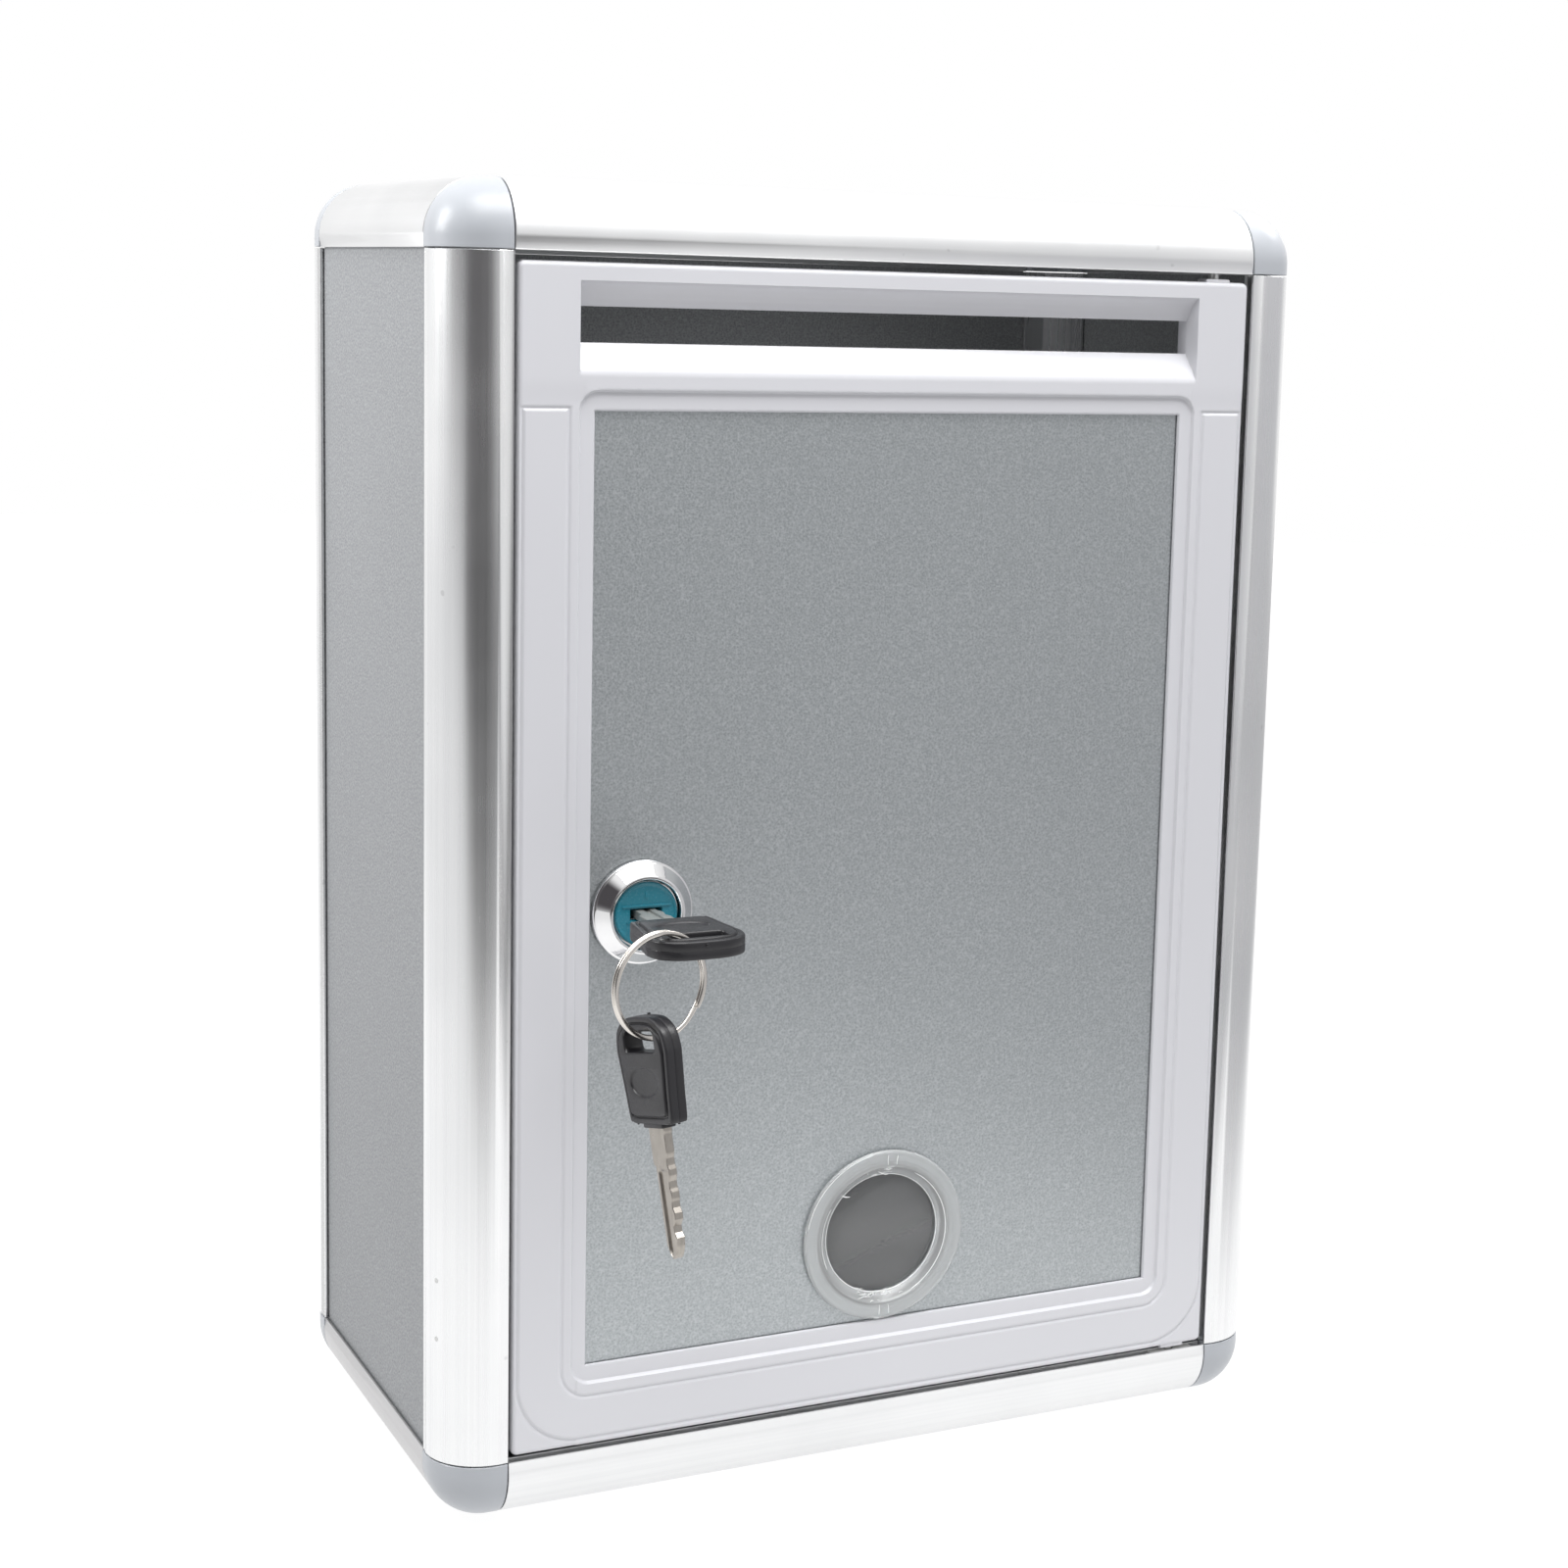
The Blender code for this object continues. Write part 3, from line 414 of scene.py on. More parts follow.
# ================================================================= extrusions
def profile_section():
    t1, t2, t3 = LIP, LIP + GROOVE, LIP + GROOVE + INNER
    g, c = LEG - GROOVE_DEPTH, 9.6
    n = 22
    arc = [(CORNER_R - CORNER_R * math.sin(math.pi / 2 * i / n),
            CORNER_R - CORNER_R * math.cos(math.pi / 2 * i / n)) for i in range(n + 1)]
    rest = [(0, LEG), (t1, LEG), (t1, g), (t2, g), (t2, LEG), (t3, LEG), (t3, c),
            (c, t3), (LEG, t3), (LEG, t2), (g, t2), (g, t1), (LEG, t1), (LEG, 0)]
    radii = [.22, .22, .0, .0, .22, .22, .6, .6, .22, .22, 0, 0, .22, .22]
    closed = rounded(rest[:], radii, 3)
    # the run from (0, LEG) round the inside to (LEG, 0), then the outer arc
    return closed + arc


def extrusion(name, place, a, b, mat, notch=None):
    pts = profile_section()
    c = Vector((CORNER_R, CORNER_R))
    bm = bmesh.new()

    def loop(w, inset):
        out = []
        for p in pts:
            q = Vector(p)
            if inset and (q.x < 0.2 or q.y < 0.2 or (q - c).length > CORNER_R - 0.05
                          and q.x < CORNER_R and q.y < CORNER_R):
                d = Vector((c.x - min(q.x, c.x), c.y - min(q.y, c.y)))
                if d.length > 1e-6:
                    q = q + d.normalized() * inset
            out.append(bm.verts.new(place(q.x, q.y, w)))
        return out

    ch = 0.13
    loops = [loop(a, ch), loop(a + ch, 0), loop(b - ch, 0), loop(b, ch)]
    skin_loops(bm, loops)
    return make(name + "_skin", bm, mat, "box", [name])


lo = LEG + SEAM
for sx, side in ((-1, "left"), (1, "right")):
    for sy, end in ((-1, "front"), (1, "rear")):
        extrusion("column_%s_%s" % (end, side),
                  lambda u, v, w, sx=sx, sy=sy: (sx * (X1 - u), sy * (Y1 - v), w),
                  lo, HEIGHT - lo, M["z"])
# two punch marks low on the left front column, over the cap's spigot
bm = bmesh.new()
for z in (44.2, 57.8):
    w = math.radians(23)
    out = Vector((-math.cos(w), -math.sin(w), 0))
    side = Vector((-out.y, out.x, 0))
    at = Vector((X0 + CORNER_R, Y0 + CORNER_R, z)) + out * (CORNER_R - 0.06)
    skin_loops(bm, [[bm.verts.new(at + out * h + (side * math.cos(2 * math.pi * k / 14)
                                                  + Vector((0, 0, math.sin(2 * math.pi * k / 14)))) * r)
                     for k in range(14)] for r, h in ((0.62, -0.05), (0.60, 0.07), (0.42, 0.11),
                                                      (0.26, 0.075), (0.10, 0.07))])
make("column_punch", bm, M["zinc"], "box", (), sharp=30)
for sz, level in ((-1, "bottom"), (1, "top")):
    for sy, end in ((-1, "front"), (1, "rear")):
        extrusion("rail_%s_%s" % (level, end),
                  lambda u, v, w, sz=sz, sy=sy: (w, sy * (Y1 - v), u if sz < 0 else HEIGHT - u),
                  X0 + lo, X1 - lo, M["x"])
    for sx, side in ((-1, "left"), (1, "right")):
        extrusion("rail_%s_%s" % (level, side),
                  lambda u, v, w, sz=sz, sx=sx: (sx * (X1 - v), w, u if sz < 0 else HEIGHT - u),
                  Y0 + lo, Y1 - lo, M["y"])


# ================================================================= corner caps
def cap(name, place):
    s, R, n, h, ch = LEG - SEAM, CORNER_R, 16, 7.4, 0.16
    steps = [R - R * math.tan(math.pi / 4 * (1 - i / n)) for i in range(n + 1)] + [s - ch, s]
    top = len(steps) - 1
    bm = bmesh.new()
    seen = {}

    def at(p):
        key = tuple(round(c, 4) for c in p)
        if key not in seen:
            core = Vector([max(c, R) for c in p])
            d = (Vector(p) - core).normalized()
            q = core + d * R
            if max(p) > s - 1e-6:      # the seam edge is chamfered
                q -= d * ch
            seen[key] = bm.verts.new(place(*q))
        return seen[key]

    def raw(p):
        key = ("raw",) + tuple(round(c, 4) for c in p)
        if key not in seen:
            seen[key] = bm.verts.new(place(*p))
        return seen[key]

    for face in (lambda u, v: (0.0, u, v), lambda u, v: (v, 0.0, u), lambda u, v: (u, v, 0.0)):
        for i in range(top):
            for j in range(top):
                q = [face(*p) for p in ((steps[i], steps[j]), (steps[i + 1], steps[j]),
                                        (steps[i + 1], steps[j + 1]), (steps[i], steps[j + 1]))]
                if sum(max(p) > s - 1e-6 for p in q) == 4:
                    pass
                bm.faces.new([at(p) for p in q])
    for face in (lambda u, v: (s, u, v), lambda u, v: (v, s, u), lambda u, v: (u, v, s)):
        rim = [at(face(t, 0.0)) for t in reversed(steps)] + [at(face(0.0, t)) for t in steps[1:]]
        rim += [raw(face(h, s)), raw(face(h, h)), raw(face(s, h))]
        fill(bm, rim)
    for face in (lambda u, v: (h, u, v), lambda u, v: (v, h, u), lambda u, v: (u, v, h)):
        bm.faces.new([raw(face(h, h)), raw(face(s, h)), raw(face(s, s)), raw(face(h, s))])
    return make(name + "_skin", bm, M["cap"], "box", [name], sharp=36)


for sz, level in ((-1, "bottom"), (1, "top")):
    for sy, end in ((-1, "front"), (1, "rear")):
        for sx, side in ((-1, "left"), (1, "right")):
            cap("corner_cap_%s_%s_%s" % (level, end, side),
                lambda x, y, z, sx=sx, sy=sy, sz=sz: (sx * (X1 - x), sy * (Y1 - y),
                                                      z if sz < 0 else HEIGHT - z))


# ================================================================= door frame
DOOR_X, DOOR_Z0, DOOR_Z1 = 91.2, 16.5, 282.6
DOOR_Y0, DOOR_Y1 = -58.5, -53.5
OPEN_X, OPEN_Z0, OPEN_Z1 = 73.5, 35.3, 250.9
STEP_X, STEP_Z0, STEP_Z1, STEP_DEEP, STEP_R = 77.3, 31.2, 255.4, 0.9, 4.5
SHEET_X, SHEET_Z0, SHEET_Z1, SHEET_Y0, SHEET_T = 76.5, 32.1, 254.1, -56.6, 1.5
SLOT_X, SLOT_Z0, SLOT_Z1 = 77.4, 258.5, 278.7
SLIT_X, SLIT_Z0, SLIT_Z1, SLIT_DEEP, COLLAR_Y = 76.6, 265.4, 273.2, 4.1, -50.8
HINGE = joint_pos("door_hinge")


def grid_lines(runs, marks=(), pairs=()):
    """Sorted grid lines: runs of (start, end, step), single marks, and pairs
    of lines close together where a surface steps."""
    out = []
    for a, b, s in runs:
        n = max(1, int(math.ceil((b - a) / s - 1e-6)))
        out += [a + (b - a) * i / n for i in range(n + 1)]
    keep = list(marks) + [p + d for p in pairs for d in (-0.05, 0.05)]
    out = [v for v in out if all(abs(v - k) > 0.045 for k in keep)] + keep
    out.sort()
    return np.array([v for i, v in enumerate(out) if i == 0 or v - out[i - 1] > 1e-3])


def round_dist(x, z, hx0, hx1, hz0, hz1, r):
    """Distance to a rounded rectangle, negative inside."""
    cx, cz = (hx0 + hx1) / 2, (hz0 + hz1) / 2
    qx = np.abs(x - cx) - (hx1 - hx0) / 2 + r
    qz = np.abs(z - cz) - (hz1 - hz0) / 2 + r
    return (np.hypot(np.maximum(qx, 0), np.maximum(qz, 0)) + np.minimum(np.maximum(qx, qz), 0) - r)


def smooth(t):
    t = np.clip(t, 0, 1)
    return t * t * (3 - 2 * t)


def round_edge(e, r):
    """Drop of a rounded edge at distance e inside it."""
    t = np.clip(1 - e / r, 0, 1)
    return r * (1 - np.sqrt(np.maximum(1 - t * t, 0)))


def front_depth(x, z):
    ax = np.abs(x)
    d = round_edge(-round_dist(x, z, -DOOR_X, DOOR_X, DOOR_Z0, DOOR_Z1, 1.6), 1.1)
    # the raised pad on the stiles and the foot, set off by a shallow groove
    pad = np.maximum(np.maximum(round_dist(x, z, -90.1, 90.1, 18.2, 600, 15.0),
                                -round_dist(x, z, -79.7, 79.7, 28.2, 600, 6.5)), z - 251.5)
    d += 0.36 * np.exp(-(pad / 0.34) ** 2) * (1 - smooth((z - 252.3) / 0.8))
    d += 0.16 * smooth((pad + 0.3) / 0.6) * (ax > 76) * (1 - smooth((z - 252.0) / 6.0))
    # the step round the sheet, then the edge of the field
    step = -round_dist(x, z, -STEP_X, STEP_X, STEP_Z0, STEP_Z1, STEP_R)
    t = smooth((step + 0.16) / 0.55)
    d = STEP_DEEP * t + d * (1 - t)
    field = np.maximum(ax - OPEN_X, np.maximum(OPEN_Z0 - z, z - OPEN_Z1))
    d += round_edge(np.maximum(field, 0), 0.45) * (field < 0.45) * (field > -1)
    # slot mouth: convex lips above and below, hollow steep ends
    tb = (z - SLOT_Z0) / (SLIT_Z0 - SLOT_Z0)
    tt = (SLOT_Z1 - z) / (SLOT_Z1 - SLIT_Z1)
    te = (SLOT_X - ax) / (SLOT_X - SLIT_X)
    pb = np.interp(tb, [0, .08, .17, .34, .59, .79, .92, 1], [0, .02, .08, .24, .55, .80, .93, 1])
    pt = np.interp(tt, [0, .03, .10, .25, .45, .70, .90, 1], [0, .08, .24, .46, .66, .85, .96, 1])
    pe = np.interp(te, [0, .3, .6, 1], [0, .45, .8, 1])
    mouth = np.minimum(np.minimum(pb, pt), pe)
    inside = (tb > 0) & (tt > 0) & (te > 0)
    return d + SLIT_DEEP * np.where(inside, mouth, 0)


def back_y(x, z):
    ax = np.abs(x)
    y = np.full_like(x, DOOR_Y1)
    y -= round_edge(-round_dist(x, z, -DOOR_X, DOOR_X, DOOR_Z0, DOOR_Z1, 1.6), 0.4)
    y = np.where((ax < 78.2) & (z > 263.6) & (z < 275.0), COLLAR_Y, y)
    y = np.where((ax > 78.5) & (ax < 89.4) & (z > 24.5) & (z < 252), -56.1, y)
    y = np.where((ax < 74.0) & (z > 18.3) & (z < 30.1), -56.1, y)
    return np.where((ax < 76.8) & (z > 31.8) & (z < 254.4), -56.9, y)


half = grid_lines([(0, 72.5, 5.2), (72.5, 91.2, 0.26)], (OPEN_X, SLIT_X, SLOT_X, DOOR_X),
                  (76.8, 78.2, 78.5, 89.4))
xs = np.concatenate([-half[:0:-1], half])
zs = grid_lines([(DOOR_Z0, 36.2, 0.26), (36.2, 249.8, 7.2), (249.8, 256.4, 0.24),
                 (256.4, 281.0, 0.36), (281.0, DOOR_Z1, 0.2)],
                (OPEN_Z0, OPEN_Z1, SLIT_Z0, SLIT_Z1, SLOT_Z0, SLOT_Z1, DOOR_Z0, DOOR_Z1),
                (18.3, 30.1, 24.5, 31.8, 252.0, 254.4, 263.6, 275.0))


def plate(xs, zs, keep, front, back, squeeze):
    """Closed body between two height fields over a grid with cells left out."""
    gx, gz = np.meshgrid(xs, zs, indexing="ij")
    fy, by = front(gx, gz), back(gx, gz)
    px, pz = squeeze(gx, gz)
    cx, cz = np.meshgrid((xs[:-1] + xs[1:]) / 2, (zs[:-1] + zs[1:]) / 2, indexing="ij")
    cell = keep(cx, cz)
    nx, nz = len(xs), len(zs)
    node = np.arange(nx * nz).reshape(nx, nz)
    verts = np.concatenate([np.stack([px, fy, pz], -1).reshape(-1, 3),
                            np.stack([px, by, pz], -1).reshape(-1, 3)])
    off = nx * nz
    i, j = np.nonzero(cell)
    a, b, c, d = node[i, j], node[i + 1, j], node[i + 1, j + 1], node[i, j + 1]
    faces = [np.stack([a, b, c, d], 1), np.stack([d, c, b, a], 1) + off]
    pad = np.zeros((nx + 1, nz + 1), bool)
    pad[1:-1, 1:-1] = cell
    for di, dj, p, q in ((-1, 0, d, a), (1, 0, b, c), (0, -1, a, b), (0, 1, c, d)):
        rim = ~pad[i + 1 + di, j + 1 + dj]
        faces.append(np.stack([q[rim], p[rim], p[rim] + off, q[rim] + off], 1))
    faces = np.concatenate(faces)
    used, inv = np.unique(faces, return_inverse=True)
    return verts[used], inv.reshape(faces.shape)


def corner_squeeze(x, z, r=1.6):
    """Bends the grid round the four outer corners."""
    cx, cz = DOOR_X - r, (DOOR_Z1 - DOOR_Z0) / 2 - r
    mz = (DOOR_Z1 + DOOR_Z0) / 2
    u, v = (np.abs(x) - cx) / r, (np.abs(z - mz) - cz) / r
    m = (u > 0) & (v > 0)
    uu = np.where(m, u * np.sqrt(np.maximum(1 - v * v / 2, 0)), u)
    vv = np.where(m, v * np.sqrt(np.maximum(1 - u * u / 2, 0)), v)
    return np.sign(x) * (cx + uu * r), mz + np.sign(z - mz) * (cz + vv * r)


def door_cells(x, z):
    ax = np.abs(x)
    return ~(((ax < OPEN_X) & (z > OPEN_Z0) & (z < OPEN_Z1))
             | ((ax < SLIT_X) & (z > SLIT_Z0) & (z < SLIT_Z1)))


def door_front(x, z):
    sx, sz = corner_squeeze(x, z)
    return DOOR_Y0 + front_depth(sx, sz)


def add_body(bm, verts, faces):
    vs = [bm.verts.new(v) for v in verts]
    for f in faces:
        bm.faces.new([vs[k] for k in f])
    return vs


def soft_block(bm, x0, x1, y0, y1, z0, z1, c=0.3):
    """A small block with rounded edges."""
    new = bmesh.ops.create_cube(bm, size=1.0)["verts"]
    for v in new:
        v.co = Vector((x0 if v.co.x < 0 else x1, y0 if v.co.y < 0 else y1,
                       z0 if v.co.z < 0 else z1))
    edges = list({e for v in new for e in v.link_edges})
    bmesh.ops.bevel(bm, geom=edges, offset=c, segments=2, profile=0.5, affect="EDGES")


bm = bmesh.new()
add_body(bm, *plate(xs, zs, door_cells, door_front, back_y, corner_squeeze))
for z in (60.0, 175.0, 235.0):
    for s in (-1, 1):
        xa, xb = sorted((s * 77.0, s * 74.9))
        soft_block(bm, xa, xb, -54.8, -53.55, z - 4, z + 4)
for x in (-40.0, 40.0):
    soft_block(bm, x - 5, x + 5, -54.8, -53.55, 31.6, 33.7)
    soft_block(bm, x - 5, x + 5, -54.8, -53.55, 252.5, 254.6)
for za, zb in ((DOOR_Z0 - 0.6, DOOR_Z0 + 1.0), (DOOR_Z1 - 1.0, DOOR_Z1 + 0.7)):
    soft_block(bm, HINGE.x - 3.3, HINGE.x + 3.3, HINGE.y - 2.2, HINGE.y + 2.2, za, zb, 0.35)
make("door_moulding", bm, M["door"], "door", ["door_frame"], sharp=38)


# ================================================================= window
WIN = Vector((1.0, 0, 56.3))
bm = bmesh.new()
ring_profile = rounded([
    (14.42, -55.62), (14.42, -56.0), (16.35, -57.62), (16.55, -57.86), (16.85, -57.98),
    (17.15, -57.86), (17.4, -57.80), (17.9, -57.80), (18.3, -57.92), (19.4, -57.96),
    (19.95, -58.06), (20.3, -58.05), (20.76, -57.6), (20.78, -56.95), (17.28, -56.92),
    (17.28, -50.45), (15.22, -50.45), (15.22, -54.08), (16.18, -54.08), (16.18, -55.62)],
    [.05, .12, .15, .1, .12, .1, .08, .15, .15, .2, .12, .15, .25, .15, .1, .2, .2, .1, .05, .05], 2)
lathe(bm, ring_profile, WIN.x, WIN.z, 144)
make("window_bezel", bm, M["ring"], "door", ["window_ring"], sharp=45)
# moulding seams and flash on the bezel, with painted highlights along some of its edges
bm = bmesh.new()


def sliver(bm, pts, y, w, h):
    """A thin raised thread along a polyline on the bezel's face: flash, or a whitish bead that paints a
    highlight.
    """
    pts = [Vector((p[0], 0, p[1])) for p in pts]
    loops = []
    for i, p in enumerate(pts):
        d = (pts[min(i + 1, len(pts) - 1)] - pts[max(i - 1, 0)]).normalized()
        n = Vector((-d.z, 0, d.x))
        k = 1.0 if 0 < i < len(pts) - 1 else 0.35
        ring = []
        for j in range(6):
            a = 2 * math.pi * j / 6
            ring.append(bm.verts.new(p + n * (w * k * math.cos(a)) +
                                     Vector((0, y - h * k * (0.4 + 0.6 * math.sin(a)), 0))))
        loops.append(ring)
    skin_loops(bm, loops)


def polar(r, deg):
    a = math.radians(deg)
    return (WIN.x + r * math.cos(a), WIN.z + r * math.sin(a))


for deg in (81.0, 88.5, 267.0, 274.5):
    sliver(bm, [polar(17.3, deg), polar(18.4, deg + 0.3), polar(19.6, deg + 0.2), polar(20.3, deg)],
           -57.92, 0.10, 0.10)
rng = np.random.default_rng(11)
for k in range(30):
    top = k % 5 < 2
    mid = (rng.normal(96, 11) if top else rng.normal(262, 13))
    r0 = rng.uniform(14.9, 16.5) if top else rng.uniform(14.2, 16.7)
    pts = [polar(r0, mid)]
    for _ in range(rng.integers(2, 4)):
        last = pts[-1]
        ang = rng.uniform(-0.7, 0.7) + (0 if rng.random() < 0.7 else math.pi / 2)
        step = rng.uniform(0.5, 1.3)
        pts.append((last[0] + step * math.cos(ang), last[1] + step * math.sin(ang) * 0.6))
    rr = min(math.hypot(pts[0][0] - WIN.x, pts[0][1] - WIN.z), 16.5)
    y = -56.0 - (rr - 14.42) * 0.84
    sliver(bm, pts, min(max(y, -57.9), -56.15) - 0.02, rng.uniform(0.07, 0.17),
           rng.uniform(0.07, 0.16))
# painted highlights: whitish beads on the lip round the pane, parts of the crest and the rim
lathe(bm, [(14.58 + 0.12 * math.cos(math.pi * k / 4), -56.1 - 0.1 * math.sin(math.pi * k / 4))
           for k in range(8)], WIN.x, WIN.z, 144)
for d0, d1, r, y, w in ((-62, 62, 16.35, -57.6, 0.13), (150, 205, 16.1, -57.4, 0.08),
                        (100, 170, 20.35, -57.98, 0.07)):
    sliver(bm, [polar(r, d0 + (d1 - d0) * k / 24) for k in range(25)], y, w, w)
# the stub of the sprue at the foot of the flange
sliver(bm, [polar(20.1, 262), polar(20.4, 264), polar(20.5, 267), polar(20.3, 270)],
       -57.65, 0.22, 0.3)
make("bezel_flash_and_highlights", bm, M["flash"], "door", (), sharp=60)
bm = bmesh.new()
pane_profile = rounded([(0, -55.38), (15.88, -55.38), (15.88, -54.42), (0, -54.42)],
                       [0, .12, .12, 0], 2)
lathe(bm, pane_profile, WIN.x, WIN.z, 96)
make("window_glazing", bm, M["pane"], "door", ["window_pane"], sharp=45)

# ================================================================= lock
LOCK = Vector((joint_pos("lock_turn").x, 0, joint_pos("lock_turn").z))
bm = bmesh.new()
# conical front ring: thin outer rim, polished cone, crest, recessed seat
front = rounded([(7.32, -58.95), (7.9, -58.95), (7.95, -60.75), (8.2, -61.12), (8.65, -61.15),
                 (8.95, -60.95), (11.25, -58.45), (11.45, -58.3), (11.7, -58.2),
                 (11.88, -57.95), (11.88, -56.95)],
                [0, .1, .2, .2, .25, .3, .12, .1, .12, .15, .1], 3, closed=False)
thread = []
y = -54.6
while y < -38.6:
    thread += [(9.27, y), (9.27, y + 0.18), (8.93, y + 0.42), (8.93, y + 0.56)]
    y += 0.8
housing = front + [(9.28, -56.92), (9.28, -54.9)] + thread + [(9.27, -38.2), (8.9, -37.82),
                                                              (7.32, -37.82)]
lathe(bm, housing, LOCK.x, LOCK.z, 128)
make("lock_barrel", bm, M["chrome"], "door", ["lock_housing"], sharp=30)

# nut: chamfered hexagon
bm = bmesh.new()
y0, y1 = SHEET_Y0 + SHEET_T + 0.3, SHEET_Y0 + SHEET_T + 3.7
AF = 24.0
N = 96
outer_rings = []
for y, cut in ((y0, 0.9), (y0 + 0.45, 0.0), (y1 - 0.45, 0.0), (y1, 0.9)):
    ring = []
    for i in range(N):
        a = 2 * math.pi * i / N
        seg = (a + math.pi / 6) % (math.pi / 3) - math.pi / 6
        ring.append((a, min(AF / 2 / math.cos(math.pi / 6 - abs(seg)), 13.85 - cut)))
    outer_rings.append([bm.verts.new((LOCK.x + r * math.cos(a), y, LOCK.z + r * math.sin(a)))
                        for a, r in ring])
inner_rings = [[bm.verts.new((LOCK.x + r * math.cos(2 * math.pi * i / N), y,
                              LOCK.z + r * math.sin(2 * math.pi * i / N))) for i in range(N)]
               for y, r in ((y1, 10.0), (y1 - 0.4, 9.6), (y0 + 0.4, 9.6), (y0, 10.0))]
skin_loops(bm, outer_rings + inner_rings, close=True)
make("lock_hex_nut", bm, M["zinc"], "door", ["lock_nut"], sharp=28)

# plug: face with a moulded rim and the keyway with a light lip along its top
KW, KH = 3.7, 1.3


def keyed_disc(bm, rings, x, z, hole, n=96):
    """Closed turned body round a rectangular way: rings is (radius, y) from
    the front, hole is (half width, half height, front y, back y)."""
    hw, hh, ya, yb = hole
    outline = rounded([(-hw, -hh), (hw, -hh), (hw, hh), (-hw, hh)], 0.25, 3)
    way = [[bm.verts.new((x + u, y, z + v)) for u, v in outline] for y in (ya, ya + 0.25, yb)]
    for w_ in way[:1]:
        for v in w_:
            v.co.x = x + (v.co.x - x) * 1.05
            v.co.z = z + (v.co.z - z) * 1.12
    turned = [[bm.verts.new((x + r * math.cos(2 * math.pi * i / n), y,
                             z + r * math.sin(2 * math.pi * i / n))) for i in range(n)]
              for r, y in rings]
    for a, b in zip(turned, turned[1:]):
        for i in range(n):
            j = (i + 1) % n
            bm.faces.new([a[i], a[j], b[j], b[i]])
    fill2(bm, turned[0], way[0])
    m = len(outline)
    for a, b in zip(way, way[1:]):
        for i in range(m):
            j = (i + 1) % m
            bm.faces.new([a[i], a[j], b[j], b[i]])
    fill2(bm, way[-1])
    fill2(bm, turned[-1])


def fill2(bm, *loops):
    """Flat fill in the x, z plane."""
    flat = [v for l in loops for v in l]
    for t in tessellate_polygon([[Vector((v.co.x, v.co.z, 0)) for v in l] for l in loops]):
        bm.faces.new([flat[i] for i in t])


bm = bmesh.new()
keyed_disc(bm, [(6.35, -60.02), (6.55, -60.08), (6.75, -60.22), (7.05, -60.28), (7.25, -60.2),
                (7.42, -59.95), (7.42, -59.35), (7.0, -59.2), (6.98, -38.0), (6.6, -37.55),
                (3.3, -37.52)], LOCK.x, LOCK.z, (KW, KH, -60.02, -40.3))
# moulded ribs each side of the keyway and the index notch
for z0, z1, x0, x1, h in ((1.75, 2.25, -5.7, 5.7, 0.30), (-1.95, -1.62, -4.6, 4.6, 0.14),
                          (3.5, 5.3, -0.35, 0.35, 0.12)):
    soft_block(bm, LOCK.x + x0, LOCK.x + x1, -60.02 - h, -59.9, LOCK.z + z0, LOCK.z + z1, 0.05)
soft_block(bm, LOCK.x - 3.15, LOCK.x + 3.15, -38.2, -35.45, LOCK.z - 3.15, LOCK.z + 3.15, 0.25)
make("lock_core_plug", bm, M["teal"], "lock_core", ["lock_plug"], sharp=32)
# wafers seen down the keyway
bm = bmesh.new()
for i in range(5):
    ya = -58.6 + i * 2.1
    soft_block(bm, LOCK.x - 3.4, LOCK.x + 3.4, ya, ya + 0.7, LOCK.z - 1.25,
               LOCK.z - 1.08 + 0.06 * (i % 2), 0.05)
make("lock_wafers", bm, M["satin"], "lock_core", (), sharp=40)

# cam: bent strip with rounded tip and edges and pressed bends
bm = bmesh.new()
hub_y0, hub_y1, arm_y0 = -37.2, -35.6, -53.1
T = 1.6
outer_line = rounded([(hub_y0, 6.9), (hub_y0, -16.0), (arm_y0, -16.0), (arm_y0, -35.7)],
                     [0, 0.7, 2.0, 0], 5, closed=False)
inner_line = rounded([(hub_y1, 6.9), (hub_y1, -17.6), (arm_y0 + T, -17.6), (arm_y0 + T, -35.7)],
                     [0, 2.0, 0.7, 0], 5, closed=False)


def cam_half(z):
    """Half width: round at the hub's top and at the tip of the arm."""
    if z > 0.5:
        return math.sqrt(max(6.45 ** 2 - (z - 0.5) ** 2, 0.3))
    if z < -31.2:
        return math.sqrt(max(6.45 ** 2 - ((z + 31.2) * 1.42) ** 2, 0.2))
    return 6.45


def resample(pts, n):
    pts = np.array(pts)
    s = np.concatenate([[0], np.cumsum(np.hypot(*np.diff(pts, axis=0).T))])
    t = np.linspace(0, s[-1], n)
    return np.stack([np.interp(t, s, pts[:, k]) for k in (0, 1)], 1)


n = 90
oa, ob = resample(outer_line, n), resample(inner_line, n)
c = 0.18
loops = []
for a, b in zip(oa, ob):
    d = (b - a) / np.hypot(*(b - a))
    w0, w1 = cam_half(a[1]), cam_half(b[1])
    pts = [(a + d * c, w0), (a, w0 - c), (a, -w0 + c), (a + d * c, -w0),
           (b - d * c, -w1), (b, -w1 + c), (b, w1 - c), (b - d * c, w1)]
    loops.append([bm.verts.new((LOCK.x + w, q[0], LOCK.z + q[1])) for q, w in pts])
skin_loops(bm, loops)
make("lock_cam_strip", bm, M["zinc"], "lock_core", ["lock_cam"], sharp=30)

# cam screw: pan head with a conical recess and a pressed washer face
bm = bmesh.new()
lathe(bm, [(0, -39.58), (1.2, -39.58), (1.48, -39.2), (1.48, -35.08), (3.9, -35.08),
           (4.15, -34.9), (4.18, -34.4), (3.95, -33.8), (3.3, -33.3), (2.2, -33.04),
           (1.55, -33.02), (1.2, -33.5), (0.6, -34.3), (0, -34.4)], LOCK.x, LOCK.z, 48)
make("cam_pan_screw", bm, M["zinc"], "lock_core", ["cam_screw"], sharp=32)

